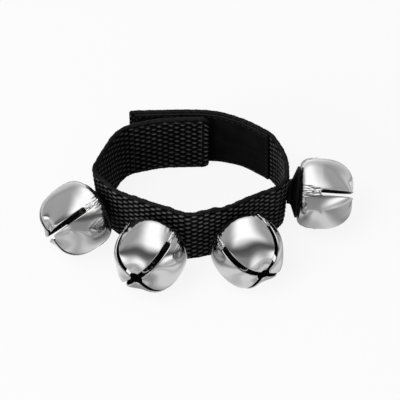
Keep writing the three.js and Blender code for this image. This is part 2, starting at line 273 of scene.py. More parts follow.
class StrapPath:
    """The webbing's middle line seen from above, and its tilt, by length along the strap."""

    SAMPLES = 24

    def __init__(self, cuff: CuffSizes, bell: BellSizes, leans: Leans) -> None:
        """Lays the line and finds the places along it.

        Args:
            cuff: Sizes of the strap.
            bell: Sizes of a bell.
            leans: Tilts of the webbing.
        """
        self.cuff = cuff
        self.half = np.array([cuff.cuff_width - cuff.thickness, cuff.cuff_depth - cuff.thickness]) / 2
        self._sample(self._stops())
        self.seat_arcs = [self.arc_near((s.x_share, s.y_share)) for s in SEAT_SHARES]
        self.left_flex = self.arc_near(LEFT_FLEX_SHARE)
        self.right_flex = self.arc_near(RIGHT_FLEX_SHARE)
        self.hook_from = cuff.patch_end_margin
        self.hook_to = self.hook_from + cuff.hook_length
        self.pile_to = self.length - cuff.patch_end_margin
        self.pile_from = self.pile_to - cuff.pile_length
        self.overlap_from = self.pile_to - cuff.hook_length
        self._tilt(leans)
        self.shift = np.zeros(3)
        self._meet_frame(bell)

    def _stops(self) -> Array:
        """The places that the line runs through.

        Returns:
            Points, two numbers each.
        """
        stops = []
        for entry in ROUTE_SHARES:
            if isinstance(entry, tuple):
                stops.append(np.array(entry) * self.half)
                continue
            seat = SEAT_SHARES[entry]
            heading = math.radians(seat.heading)
            along = np.array([math.cos(heading), math.sin(heading)])
            middle = np.array([seat.x_share, seat.y_share]) * self.half
            stops += [middle + along * share * SEAT_FLAT / 2 for share in SEAT_STOP_SHARES]
        return np.array(stops)

    def _sample(self, stops: Array) -> None:
        """Samples a centripetal curve through the places.

        Args:
            stops: The places, two numbers each.
        """
        first = 2 * stops[0] - stops[1]
        last = 2 * stops[-1] - stops[-2]
        points = np.vstack([first, stops, last])
        t = (np.arange(self.SAMPLES) / self.SAMPLES)[:, None]
        pieces = []
        for a, b, c, d in zip(points[:-3], points[1:-2], points[2:-1], points[3:]):
            ab, bc, cd = (math.sqrt(np.linalg.norm(q - p)) for p, q in ((a, b), (b, c), (c, d)))
            leave = ((b - a) / ab - (c - a) / (ab + bc) + (c - b) / bc) * bc
            arrive = ((c - b) / bc - (d - b) / (bc + cd) + (d - c) / cd) * bc
            square = -3 * b + 3 * c - 2 * leave - arrive
            cube = 2 * b - 2 * c + leave + arrive
            pieces.append(b + leave * t + square * t**2 + cube * t**3)
        self.line = np.vstack([*pieces, stops[-1:]])
        steps = np.linalg.norm(np.diff(self.line, axis=0), axis=1)
        self.arcs = np.concatenate([[0], np.cumsum(steps)])
        self.length = float(self.arcs[-1])
        tangents = np.gradient(self.line, self.arcs, axis=0)
        self.tangents = tangents / np.linalg.norm(tangents, axis=1)[:, None]

    def _tilt(self, leans: Leans) -> None:
        """Sets the tilt by length along the strap.

        Args:
            leans: Tilts of the webbing.
        """
        middle = (self.pile_from + self.overlap_from) / 2
        stops = [(0.0, leans.inside), (self.cuff.hook_length, leans.inside), (self.left_flex, leans.left)]
        stops += [(arc, seat.lean) for arc, seat in zip(self.seat_arcs, SEAT_SHARES)]
        stops += [(self.right_flex, leans.right), (self.pile_from, leans.pile), (middle, leans.pile)]
        stops += [(self.overlap_from, leans.overlap), (self.length, leans.overlap)]
        self.tilt_arcs, self.tilts = (np.array(column) for column in zip(*stops))

    def _meet_frame(self, bell: BellSizes) -> None:
        """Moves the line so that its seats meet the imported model's.

        Args:
            bell: Sizes of a bell.
        """
        gaps = []
        for number, (arc, seat) in enumerate(zip(self.seat_arcs, SEAT_SHARES), 1):
            lean = math.radians(seat.lean)
            height = bell.diameter / 2 + bell.table_clearance + bell.centre * math.sin(lean)
            mine = self.place(arc, self.cuff.thickness / 2, height)
            gaps.append(bell_joint(number)["pos_m"] - mine)
        self.shift = np.mean(gaps, axis=0) * [1, 1, 0]
        spread = np.ptp(gaps, axis=0).max()
        log.info("strap line: %.1f mm long, seats within %.3f mm", self.length / MM, spread / MM)

    def arc_near(self, share: Sequence[float]) -> float:
        """Length along the strap of the place nearest to a plan point.

        Args:
            share: The plan point, as shares of half the cuff.

        Returns:
            The length along the strap.
        """
        gaps = np.linalg.norm(self.line - np.array(share) * self.half, axis=1)
        return float(self.arcs[int(np.argmin(gaps))])

    def place(self, arc: Array, offset: Array, height: Array) -> Array:
        """Points of the strap.

        Args:
            arc: Length along the strap.
            offset: Distance outwards from the middle line.
            height: Height above the lower edge.

        Returns:
            Points, three numbers each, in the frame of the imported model.
        """
        arc, offset, height = np.broadcast_arrays(arc, offset, height)
        x, y = (np.interp(arc, self.arcs, self.line[:, k]) for k in (0, 1))
        tx, ty = (np.interp(arc, self.arcs, self.tangents[:, k]) for k in (0, 1))
        norm = np.hypot(tx, ty)
        tilt = np.tan(np.radians(np.interp(arc, self.tilt_arcs, self.tilts)))
        reach = offset + tilt * (height - self.cuff.width / 2)
        points = np.stack([x + ty / norm * reach, y - tx / norm * reach, height], axis=-1)
        return points + self.shift


def bell_joint(number: int) -> dict:
    """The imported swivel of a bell.

    Args:
        number: The bell, from 1.

    Returns:
        The joint's entry, with its place and axis as arrays.
    """
    joint = next(j for j in frame["joints"] if j["name"] == f"bell_{number}_swivel")
    return {**joint, "pos_m": np.array(joint["pos_m"]), "axis": np.array(joint["axis"])}


def grid_faces(rows: int, columns: int, first: int = 0, wrap: bool = False) -> Array:
    """Quads over a grid of points.

    Args:
        rows: Rows of points.
        columns: Points in a row.
        first: Number of the grid's first point.
        wrap: Whether each row closes on itself.

    Returns:
        Four point numbers for each quad.
    """
    down, across = np.meshgrid(
        np.arange(rows - 1), np.arange(columns if wrap else columns - 1), indexing="ij"
    )
    beside = (across + 1) % columns
    corners = [
        down * columns + across,
        (down + 1) * columns + across,
        (down + 1) * columns + beside,
        down * columns + beside,
    ]
    return first + np.stack(corners, axis=-1).reshape(-1, 4)


def ring_cap(ring: Array, start: int) -> list[list[int]]:
    """Faces that close a ring of points that is alike on both sides of one of its points.

    Args:
        ring: Point numbers round the ring, an even count.
        start: The place in the ring that the two sides meet at.

    Returns:
        Faces of three or four point numbers.
    """
    count = len(ring)
    ahead = [int(ring[(start + k) % count]) for k in range(count // 2 + 1)]
    behind = [int(ring[(start - k) % count]) for k in range(count // 2 + 1)]
    faces = []
    for a, b, c, d in zip(ahead, ahead[1:], behind[1:], behind):
        faces.append([p for k, p in enumerate((a, b, c, d)) if p not in (a, b, c, d)[:k]])
    return faces


def signed_volume(points: Array, faces: list) -> float:
    """Volume inside closed faces, negative where they point inwards.

    Args:
        points: The points.
        faces: Lists of point numbers.

    Returns:
        The volume in cubic metres.
    """
    total = 0.0
    for count in (3, 4):
        picked = np.array([f for f in faces if len(f) == count], dtype=int).reshape(-1, count)
        for k in range(1, count - 1):
            a, b, c = points[picked[:, 0]], points[picked[:, k]], points[picked[:, k + 1]]
            total += float(np.einsum("ij,ij->i", a, np.cross(b, c)).sum()) / 6
    return total


class PieceMaker:
    """Collects points and faces, then makes one mesh of them."""

    def __init__(self) -> None:
        """Starts empty."""
        self.points: list[Array] = []
        self.faces: list[list[int]] = []
        self.values: dict[str, list[Array]] = {}
        self.count = 0

    def add(self, points: Array, faces: list | Array, **values: Array) -> None:
        """Adds a closed body.

        Args:
            points: Its points.
            faces: Its faces, by the body's own point numbers.
            **values: Named numbers, one for each point.
        """
        points = np.asarray(points, float).reshape(-1, 3)
        listed = [list(map(int, face)) for face in faces]
        if signed_volume(points - points.mean(axis=0), listed) < 0:
            listed = [face[::-1] for face in listed]
        self.faces += [[p + self.count for p in face] for face in listed]
        self.points.append(points)
        for name, numbers in values.items():
            self.values.setdefault(name, []).append(np.asarray(numbers, float).ravel())
        self.count += len(points)

    def make(self, name: str, material: bpy.types.Material, weld: float = 0.0) -> bpy.types.Object:
        """Makes the mesh object.

        Args:
            name: Name of the piece.
            material: Its finish.
            weld: Distance under which points are joined, or 0.

        Returns:
            The new object, shaded smooth.
        """
        mesh = bpy.data.meshes.new(name)
        mesh.from_pydata(np.vstack(self.points).tolist(), [], self.faces)
        for value, numbers in self.values.items():
            attribute = mesh.attributes.new(value, "FLOAT", "POINT")
            attribute.data.foreach_set("value", np.concatenate(numbers).astype(np.float32))
        if weld:
            body = bmesh.new()
            body.from_mesh(mesh)
            bmesh.ops.remove_doubles(body, verts=body.verts, dist=weld)
            body.to_mesh(mesh)
            body.free()
        mesh.validate()
        mesh.shade_smooth()
        mesh.materials.append(material)
        piece = bpy.data.objects.new(name, mesh)
        bpy.context.scene.collection.objects.link(piece)
        log.info("%s: %d points", name, len(mesh.vertices))
        return piece


class Nodes:
    """A small hand for wiring one material, or the world."""

    def __init__(
        self, holder: bpy.types.Material | bpy.types.World, output: str = "OutputMaterial"
    ) -> None:
        """Clears the wiring.

        Args:
            holder: The material or the world.
            output: Kind of its output node, as add takes it.
        """
        self.holder = holder
        holder.use_nodes = True
        self.tree = holder.node_tree
        self.tree.nodes.clear()
        self.output = self.add(output)

    def add(self, kind: str, settings: dict | None = None, **inputs: object) -> bpy.types.Node:
        """Adds a node.

        Args:
            kind: Its type, without the ShaderNode prefix.
            settings: Its own settings.
            **inputs: Values or sockets for its inputs, with _ for a space in their names.

        Returns:
            The node.
        """
        node = self.tree.nodes.new("ShaderNode" + kind)
        for key, value in (settings or {}).items():
            setattr(node, key, value)
        for key, value in inputs.items():
            self.feed(node.inputs[key.replace("_", " ")], value)
        return node

    def feed(self, socket: bpy.types.NodeSocket, value: object) -> None:
        """Sets an input's value, or links it.

        Args:
            socket: The input.
            value: A number, a colour or another node's output.
        """
        if isinstance(value, bpy.types.NodeSocket):
            self.tree.links.new(value, socket)
        else:
            socket.default_value = value

    def attribute(self, name: str) -> bpy.types.NodeSocket:
        """A number stored on the mesh, as a socket."""
        return self.add("Attribute", {"attribute_name": name}).outputs["Fac"]

    def math(self, kind: str, *values: object) -> bpy.types.NodeSocket:
        """A sum on one to three numbers or sockets.

        Args:
            kind: The operation.
            *values: What it works on.

        Returns:
            The result's socket.
        """
        node = self.add("Math", {"operation": kind})
        for socket, value in zip(node.inputs, values):
            self.feed(socket, value)
        return node.outputs[0]

    def weighted(self, start: object, *parts: tuple[bpy.types.NodeSocket, float]) -> bpy.types.NodeSocket:
        """A start value plus some sockets, each times its own share.

        Args:
            start: The start value, a number or a socket.
            *parts: The sockets and their shares.

        Returns:
            The sum's socket.
        """
        total = start
        for socket, share in parts:
            total = self.math("MULTIPLY_ADD", socket, share, total)
        return total

    def about(self, noise: bpy.types.NodeSocket, middle: float, spread: float) -> bpy.types.NodeSocket:
        """A number that a noise of 0 to 1 moves up and down round its middle, over a spread."""
        return self.weighted(middle - spread / 2, (noise, spread))

    def scaled(
        self, where: bpy.types.NodeSocket, scale: tuple[float, float, float]
    ) -> bpy.types.NodeSocket:
        """Coordinates stretched by a scale along each axis."""
        return self.add("Mapping", Vector=where, Scale=scale).outputs[0]

    def noise(
        self, where: bpy.types.NodeSocket, scale: float, detail: float, roughness: float = 0.5
    ) -> bpy.types.NodeSocket:
        """A noise of 0 to 1.

        Args:
            where: Its coordinates.
            scale: Its pace.
            detail: How many finer layers it has.
            roughness: How strong they are.

        Returns:
            The noise's socket.
        """
        node = self.add("TexNoise", Vector=where, Scale=scale, Detail=detail, Roughness=roughness)
        return node.outputs["Fac"]

    def between(
        self, value: bpy.types.NodeSocket, low: float, high: float, kind: str = "LINEAR"
    ) -> bpy.types.NodeSocket:
        """How far a value lies from a low to a high one, as 0 to 1.

        Args:
            value: The value.
            low: Where 0 is.
            high: Where 1 is.
            kind: How it eases.

        Returns:
            The result's socket.
        """
        settings = {"interpolation_type": kind}
        node = self.add("MapRange", settings, Value=value, From_Min=low, From_Max=high)
        return node.outputs["Result"]

    def mix(self, share: bpy.types.NodeSocket, first: object, second: object) -> bpy.types.NodeSocket:
        """Mixes two colours.

        Args:
            share: How much of the second.
            first: The first colour.
            second: The second colour.

        Returns:
            The mixed colour's socket.
        """
        node = self.add("Mix", {"data_type": "RGBA"}, Factor=share)
        colours = [socket for socket in node.inputs if socket.type == "RGBA"]
        self.feed(colours[0], first)
        self.feed(colours[1], second)
        return next(socket for socket in node.outputs if socket.type == "RGBA")

    def ramp(self, value: object, stops: Sequence[tuple[float, object]]) -> bpy.types.NodeSocket:
        """A colour ramp.

        Args:
            value: The number or socket that it reads.
            stops: Places and grey levels or colours.

        Returns:
            The colour's socket.
        """
        node = self.add("ValToRGB", Fac=value)
        band = node.color_ramp
        while len(band.elements) < len(stops):
            band.elements.new(1.0)
        for element, (place, colour) in zip(band.elements, stops):
            element.position = place
            element.color = (*colour, 1) if isinstance(colour, tuple) else (colour, colour, colour, 1)
        return node.outputs["Color"]

    def bump(self, height: bpy.types.NodeSocket, strength: float, depth: float) -> bpy.types.NodeSocket:
        """Fine relief from a height of 0 to 1, as a normal."""
        return self.add("Bump", Strength=strength, Distance=depth, Height=height).outputs[0]

    def blend(self, share: object, first: bpy.types.Node, second: bpy.types.Node) -> bpy.types.Node:
        """Mixes two shaders.

        Args:
            share: How much of the second, a number or a socket.
            first: The first shader.
            second: The second shader.

        Returns:
            The mixed shader.
        """
        mixed = self.add("MixShader", Fac=share)
        self.feed(mixed.inputs[1], first.outputs[0])
        self.feed(mixed.inputs[2], second.outputs[0])
        return mixed

    def strap_vector(self) -> bpy.types.NodeSocket:
        """Length along and height across the strap, in millimetres, as a vector."""
        joined = self.add("CombineXYZ", X=self.attribute("along_mm"), Y=self.attribute("across_mm"))
        return joined.outputs[0]

    def piece_vector(self) -> bpy.types.NodeSocket:
        """The place on a piece, in metres, as a vector."""
        return self.add("TexCoord").outputs["Object"]

    def finish(self, shader: bpy.types.Node) -> bpy.types.Material | bpy.types.World:
        """Wires the surface, and gives the material or the world back."""
        self.feed(self.output.inputs["Surface"], shader.outputs[0])
        return self.holder


def new_material(name: str) -> Nodes:
    """Starts an empty material."""
    return Nodes(bpy.data.materials.new(name))


@dataclass(frozen=True)
class WebbingFinish:
    """Black woven webbing: gaps painted dark as shade, crowns painted pale as highlights, fine fibres along
    each yarn.
    """

    # The greys by the weave's height are painted light: painted shade in the gaps, painted highlights on
    # the crowns and their flanks.
    gap: float = 0.001
    crown_highlight: float = 0.115
    flank_share: float = 0.15
    shade_stops: tuple[float, float, float] = (0.3, 0.62, 0.9)
    shade_start: float = -0.3
    height_share: float = 0.8
    fibre_share: float = 0.3
    yarn_share: float = 0.3
    patch_share: float = 0.2
    fibre_scale: tuple[float, float, float] = (0.8, 11.0, 1.0)
    yarn_scale: float = 0.8
    patch_scale: float = 0.09
    roughness: float = 0.525
    roughness_spread: float = 0.25
    specular: float = 0.012
    fibre_strength: float = 0.35
    fibre_depth: float = 0.05 * MM

    def build(self) -> bpy.types.Material:
        """Makes the material."""
        n = new_material("woven_webbing")
        place = n.strap_vector()
        fibres = n.noise(n.scaled(place, self.fibre_scale), scale=1.0, detail=4.0, roughness=0.6)
        shade = n.weighted(
            self.shade_start,
            (n.attribute("weave"), self.height_share),
            (fibres, self.fibre_share),
            (n.noise(place, self.yarn_scale, detail=1.0), self.yarn_share),
            (n.noise(place, self.patch_scale, detail=2.0), self.patch_share),
        )
        greys = (self.gap, self.crown_highlight * self.flank_share, self.crown_highlight)
        shader = n.add(
            "BsdfPrincipled",
            Base_Color=n.ramp(shade, list(zip(self.shade_stops, greys))),
            Roughness=n.about(fibres, self.roughness, self.roughness_spread),
            Specular_IOR_Level=self.specular,
            Normal=n.bump(fibres, self.fibre_strength, self.fibre_depth),
        )
        return n.finish(shader)


@dataclass(frozen=True)
class PileFinish:
    """Brushed loop pile: nearly black, with darker tufts, a soft bloom, and a painted highlight along its
    top edge where the light falls.
    """

    edge: float
    low: float = 0.0006
    high: float = 0.0045
    # The top edge's paler grey is a painted highlight where light falls on it.
    top_highlight_colour: float = 0.02
    shade_stops: tuple[float, float, float] = (0.4, 0.75, 1.0)
    tuft_share: float = 0.7
    cloud_share: float = 0.5
    top_highlight_share: float = 0.4
    edge_width: float = 0.4
    tuft_scale: float = 2.6
    cloud_scale: float = 0.16
    roughness: float = 0.95
    specular: float = 0.02
    sheen: float = 0.018
    sheen_roughness: float = 0.5
    nap_strength: float = 0.8
    nap_depth: float = 0.12 * MM

    def build(self) -> bpy.types.Material:
        """Makes the material."""
        n = new_material("loop_pile")
        place = n.strap_vector()
        tufts = n.noise(place, self.tuft_scale, detail=5.0, roughness=0.7)
        # Painted highlight: paler towards the tape's top edge.
        top_highlight = n.between(n.attribute("across_mm"), self.edge - self.edge_width, self.edge)
        shade = n.weighted(
            0.0,
            (tufts, self.tuft_share),
            (n.noise(place, self.cloud_scale, detail=2.0), self.cloud_share),
            (top_highlight, self.top_highlight_share),
        )
        greys = (self.low, self.high, self.top_highlight_colour)
        shader = n.add(
            "BsdfPrincipled",
            Base_Color=n.ramp(shade, list(zip(self.shade_stops, greys))),
            Roughness=self.roughness,
            Specular_IOR_Level=self.specular,
            Sheen_Weight=self.sheen,
            Sheen_Roughness=self.sheen_roughness,
            Normal=n.bump(tufts, self.nap_strength, self.nap_depth),
        )
        return n.finish(shader)


@dataclass(frozen=True)
class TapeFinish:
    """A plain black yarn or moulded nylon with a little grain."""

    name: str
    low: float
    high: float
    roughness: float
    grain: float
    shade_stops: tuple[float, float] = (0.3, 0.7)
    roughness_spread: float = 0.2
    specular: float = 0.25
    grain_strength: float = 0.3
    grain_depth: float = 0.04 * MM

    def build(self) -> bpy.types.Material:
        """Makes the material."""
        n = new_material(self.name)
        noise = n.noise(n.piece_vector(), self.grain, detail=4.0)
        shader = n.add(
            "BsdfPrincipled",
            Base_Color=n.ramp(noise, list(zip(self.shade_stops, (self.low, self.high)))),
            Roughness=n.about(noise, self.roughness, self.roughness_spread),
            Specular_IOR_Level=self.specular,
            Normal=n.bump(noise, self.grain_strength, self.grain_depth),
        )
        return n.finish(shader)


@dataclass(frozen=True)
class MetalFinish:
    """Bright plated or plain steel, with faint clouding and hairlines; its inner sheet is rough and painted
    dark grey as shade.
    """

    name: str
    colour: tuple[float, float, float]
    roughness: float
    clouding: float
    hairlines: float
    roughness_spread_share: float = 0.6
    cloud_scale: float = 90.0
    cloud_stops: tuple[float, float] = (0.35, 0.65)
    hairline_scale: tuple[float, float, float] = (400.0, 2600.0, 2600.0)
    hairline_depth: float = 0.01 * MM
    # The inner sheet's dark grey is painted shade inside the bell.
    inside: tuple[float, float, float] = (0.13, 0.12, 0.115)
    inside_from: float = 0.6
    inside_roughness: float = 0.5

    def build(self) -> bpy.types.Material:
        """Makes the material."""
        n = new_material(self.name)
        where = n.piece_vector()
        clouds = n.noise(where, self.cloud_scale, detail=3.0)
        hairlines = n.noise(n.scaled(where, self.hairline_scale), scale=1.0, detail=2.0)
        dark = tuple(c * (1 - self.clouding) for c in self.colour)
        plated = n.ramp(clouds, list(zip(self.cloud_stops, (dark, self.colour))))
        # Painted shade: the inner sheet takes the dark inside grey.
        within = n.between(n.attribute("inside"), self.inside_from, 1.0)
        rough = n.about(clouds, self.roughness, self.roughness * self.roughness_spread_share)
        rough = n.math("MAXIMUM", rough, n.math("MULTIPLY", within, self.inside_roughness))
        shader = n.add(
            "BsdfPrincipled",
            Base_Color=n.mix(within, plated, (*self.inside, 1)),
            Metallic=1.0,
            Roughness=rough,
            Normal=n.bump(hairlines, self.hairlines, self.hairline_depth),
        )
        return n.finish(shader)


@dataclass(frozen=True)
class DiscFinish:
    """Smooth matt black moulded plastic with fine turning grain."""

    base: float = 0.003
    shade_shares: tuple[float, float] = (0.6, 1.4)
    shade_stops: tuple[float, float] = (0.3, 0.7)
    cloud_scale: float = 180.0
    roughness: float = 0.5
    roughness_spread: float = 0.2
    specular: float = 0.06
    grain_scale: float = 1500.0
    grain_strength: float = 0.25
    grain_depth: float = 0.02 * MM

    def build(self) -> bpy.types.Material:
        """Makes the material."""
        n = new_material("moulded_disc")
        where = n.piece_vector()
        clouds = n.noise(where, self.cloud_scale, detail=2.0)
        grain = n.noise(where, self.grain_scale, detail=3.0)
        greys = [self.base * share for share in self.shade_shares]
        shader = n.add(
            "BsdfPrincipled",
            Base_Color=n.ramp(clouds, list(zip(self.shade_stops, greys))),
            Roughness=n.about(clouds, self.roughness, self.roughness_spread),
            Specular_IOR_Level=self.specular,
            Normal=n.bump(grain, self.grain_strength, self.grain_depth),
        )
        return n.finish(shader)


@dataclass(frozen=True)
class Weave:
    """The relief of the webbing: yarns along the strap that rise over every other column."""

    column: float = 2.1 * MM
    yarns: int = 22
    float_half_length: float = 1.2 * MM
    float_half_width_share: float = 0.55
    slant: float = 0.1
    depth: float = 0.42 * MM
    crown_share: float = 0.35
    scallop: float = 0.42 * MM
    selvedge: float = 1.35 * MM
    edge_lift: float = 0.55
    edge_fuzz: float = 0.12 * MM

    def height(self, along: Array, across: Array, width: float, face: Face) -> Array:
        """Height of the weave at points of a face.

        Args:
            along: Length along the strap.
            across: Height across the strap.
            width: Width of the strap.
            face: Which face.

        Returns:
            0 in a gap to 1 on a crown.
        """
        pitch = width / self.yarns
        across = across - self.slant * (along % self.column - self.column / 2)
        column, yarn = np.floor(along / self.column), np.floor(across / pitch)
        best = np.zeros(np.broadcast(along, across).shape)
        for i in (-1, 0, 1):
            for j in (-1, 0, 1):
                up = (column + i + yarn + j + (face is Face.INNER)) % 2 == 0
                du = (along - (column + i + 0.5) * self.column) / self.float_half_length
                dv = (across - (yarn + j + 0.5) * pitch) / (self.float_half_width_share * pitch)
                dome = np.sqrt(np.clip(1 - du**2 - dv**2, 0, 1))
                best = np.maximum(best, np.where(up, dome, 0))
        return best


@dataclass
class Band:
    """A closed strip that follows the strap: two faces, two rounded edges and two closed ends."""

    # How far the inner face's painted crown highlights and painted gap shade stand out in its colour; its
    # relief keeps its full depth.
    INNER_CONTRAST = 0.74
    EDGE_WEAVE = 0.5
    EDGE_POINTS = 5

    # The share of the thickness that a free end's edge keeps, and the extra cross-sections near it, as
    # shares of the corner's radius.
    END_SHARE = 0.35
    END_STATIONS = (0.02, 0.08, 0.18, 0.32)

    path: StrapPath
    from_arc: float
    to_arc: float
    near: float
    far: float
    low: float
    high: float
    step: float
    rows: int
    relief: Callable[[Array, Array, Face], Array]
    scallop: Callable[[Array], Array] | None = None
    corner_radius: float = 0.0
    round_start: bool = False
    round_end: bool = False

    def _trim(self, arcs: Array) -> tuple[Array, Array]:
        """How far the free ends' rounded corners and edges draw the strip in.

        Args:
            arcs: Lengths along the strap.

        Returns:
            How far the edges draw in, and the share of the thickness that is left.
        """
        inset, left = np.zeros_like(arcs), np.ones_like(arcs)
        r, lip = self.corner_radius, (self.far - self.near) / 2
        ends = ((self.round_start, arcs - self.from_arc), (self.round_end, self.to_arc - arcs))
        for gap in (gap for free, gap in ends if free):
            inset += r - np.sqrt(np.clip(r**2 - np.clip(r - gap, 0, r) ** 2, 0, None))
            curve = np.sqrt(np.clip(1 - np.clip(1 - gap / lip, 0, 1) ** 2, 0, 1))
            left *= self.END_SHARE + (1 - self.END_SHARE) * curve
        return inset, left

    def _stations(self) -> Array:
        """Lengths along the strap of the strip's cross-sections, closer at rounded ends."""
        count = max(2, round((self.to_arc - self.from_arc) / self.step))
        arcs = np.linspace(self.from_arc, self.to_arc, count + 1)
        extra = self.corner_radius * np.array(self.END_STATIONS)
        if self.round_start:
            arcs = np.concatenate([arcs, self.from_arc + extra])
        if self.round_end:
            arcs = np.concatenate([arcs, self.to_arc - extra])
        return np.unique(arcs)

    def build(self, maker: PieceMaker) -> None:
        """Adds the strip to a piece.

        Args:
            maker: The piece.
        """
        arcs = self._stations()[:, None]
        inset, left = self._trim(arcs)
        radius = (self.far - self.near) / 2
        middle = (self.far + self.near) / 2
        face = np.linspace(self.low + radius, self.high - radius, self.rows)[None, :]
        scale = 1 - 2 * inset / (self.high - self.low)
        heights = self.low + inset + (face - self.low) * scale
        outer = radius + self.relief(arcs, face, Face.OUTER)
        inner = radius + self.relief(arcs, face, Face.INNER)
        angle = np.linspace(0, math.pi, self.EDGE_POINTS + 2)[None, 1:-1]
        swell = self.scallop(arcs) if self.scallop else 0 * arcs
        share = angle / math.pi
        top = outer[:, -1:] * (1 - share) + inner[:, -1:] * share
        bottom = inner[:, :1] * (1 - share) + outer[:, :1] * share
        rise = np.sin(angle) * (radius + swell)
        offsets = [outer, top * np.cos(angle), -inner[:, ::-1], -bottom * np.cos(angle)]
        levels = [heights, heights[:, -1:] + rise, heights[:, ::-1], heights[:, :1] - rise.clip(0, radius)]
        offset = middle + np.hstack(offsets) * left
        level = np.hstack(levels)
        ring = offset.shape[1]
        # The weave values set the webbing's painted light: highlights on the crowns, shade in the gaps, a
        # middle grey on the edges.
        edge = self.EDGE_WEAVE
        inner_painted_light = edge + (self._lift(inner)[:, ::-1] - edge) * self.INNER_CONTRAST
        weave = np.hstack([self._lift(outer), 0 * top + edge, inner_painted_light, 0 * bottom + edge])
        faces = grid_faces(len(arcs), ring, wrap=True).tolist()
        start = ring - (self.EDGE_POINTS + 1) // 2
        last = (len(arcs) - 1) * ring
        faces += [face[::-1] for face in ring_cap(np.arange(ring), start)]
        faces += ring_cap(np.arange(last, last + ring), start)
        maker.add(
            self.path.place(arcs, offset, level),
            faces,
            weave=weave,
            along_mm=np.broadcast_to(arcs / MM, level.shape),
            across_mm=level / MM,
        )

    @staticmethod
    def _lift(face: Array) -> Array:
        """A face's relief as 0 in the gaps to 1 on the crowns."""
        low, high = face.min(), face.max()
        return (face - low) / max(high - low, 1e-9)


class Strap:
    """The webbing: its front on the cuff, and its two ends."""

    BEND = 3.2 * MM
    STEP = 0.35 * MM
    ROWS = 106

    # The marks pressed by the rivets, and the fuzz of the selvedge.
    PRESS_DEPTH = 0.12 * MM
    PRESS_WIDTH = 4.5 * MM
    FUZZ = Ripple(0.8 * MM, seed=21, waves=3)
    FUZZ_INSET = 0.5

    # The selvedge's scallops: how they calm down beyond the bends, beat with the weave and drift.
    CALM = 10 * MM
    CALM_SHARE = 0.15
    BEAT_SHARE = 0.4
    SCALLOP_INSET = 0.5
    DRIFT = Ripple(7 * MM, seed=5)

    def __init__(self, path: StrapPath, weave: Weave) -> None:
        """Keeps what the webbing is woven from.

        Args:
            path: The strap's line.
            weave: Its relief.
        """
        self.path = path
        self.weave = weave
        self.material = WebbingFinish().build()

    def relief(self, along: Array, across: Array, face: Face) -> Array:
        """Relief of one face, with a press mark round each rivet.

        Args:
            along: Length along the strap.
            across: Height across the strap.
            face: Which face.

        Returns:
            Distance out from the flat face.
        """
        weave, cuff = self.weave, self.path.cuff
        inset = np.minimum(across, cuff.width - across)
        woven = smooth_step(inset, cuff.thickness / 2, weave.selvedge)
        lift = weave.edge_lift + (weave.height(along, across, cuff.width, face) - weave.edge_lift) * woven
        relief = weave.depth * (lift - 1 + weave.crown_share)
        relief = relief + weave.edge_fuzz * (1 - woven) * (self.FUZZ.at(along, across) - self.FUZZ_INSET)
        for arc in self.path.seat_arcs:
            away = np.hypot(along - arc, across - cuff.width / 2)
            relief = relief - self.PRESS_DEPTH * np.exp(-((away / self.PRESS_WIDTH) ** 2))
        return relief

    def scallop(self, along: Array) -> Array:
        """How far the selvedge swells and draws in along the strap, less at the two ends."""
        left, right = self.path.left_flex, self.path.right_flex
        front = smooth_window(along, (left, left + self.CALM), (right - self.CALM, right))
        beat = np.cos(math.pi * along / self.weave.column)
        calm = self.CALM_SHARE + (1 - self.CALM_SHARE) * front
        swell = self.BEAT_SHARE * beat - self.SCALLOP_INSET + self.DRIFT.at(along, along * 0)
        return self.weave.scallop * calm * swell

    def band(
        self, ends: tuple[float, float], name: str, node: str, free: tuple[bool, bool]
    ) -> bpy.types.Object:
        """Weaves one stretch of the strap.

        Args:
            ends: Where it starts and ends along the strap.
            name: Name of the piece.
            node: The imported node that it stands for.
            free: Whether its start and its end are free ends.

        Returns:
            The piece.
        """
        cuff = self.path.cuff
        maker = PieceMaker()
        Band(
            path=self.path,
            from_arc=ends[0],
            to_arc=ends[1],
            near=-cuff.thickness / 2,
            far=cuff.thickness / 2,
            low=0.0,
            high=cuff.width,
            step=self.STEP,
            rows=self.ROWS,
            relief=self.relief,
            scallop=self.scallop,
            corner_radius=cuff.outer_corner_radius if free[1] else cuff.end_corner_radius,
            round_start=free[0],
            round_end=free[1],
        ).build(maker)
        piece = maker.make(name, self.material)
        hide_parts(node)
        return piece

    def build(self) -> None:
        """Makes the three stretches, and binds the front to the cuff's front body."""
        path = self.path
        left, right = path.left_flex + self.BEND, path.right_flex - self.BEND
        front = self.band((left, right), "strap_front", "webbing_front", (False, False))
        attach(front, "cuff_front")
        inner = self.band((0, left), "strap_inner_end", "webbing_inner_end", (True, False))
        self.bend(inner, left, path.left_flex - self.BEND)
        outer = self.band((right, path.length), "strap_outer_end", "webbing_outer_end", (False, True))
        self.bend(outer, right, path.right_flex + self.BEND)

    def bend(self, piece: bpy.types.Object, from_arc: float, to_arc: float) -> None:
        """Bakes an end's place into its mesh; the points where its bend would start and end are found but
        not used.

        Args:
            piece: The end.
            from_arc: Where the bend starts.
            to_arc: Where it ends.
        """
        half = self.path.cuff.width / 2
        start, end = (self.path.place(arc, 0.0, half) for arc in (from_arc, to_arc))
        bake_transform(piece)


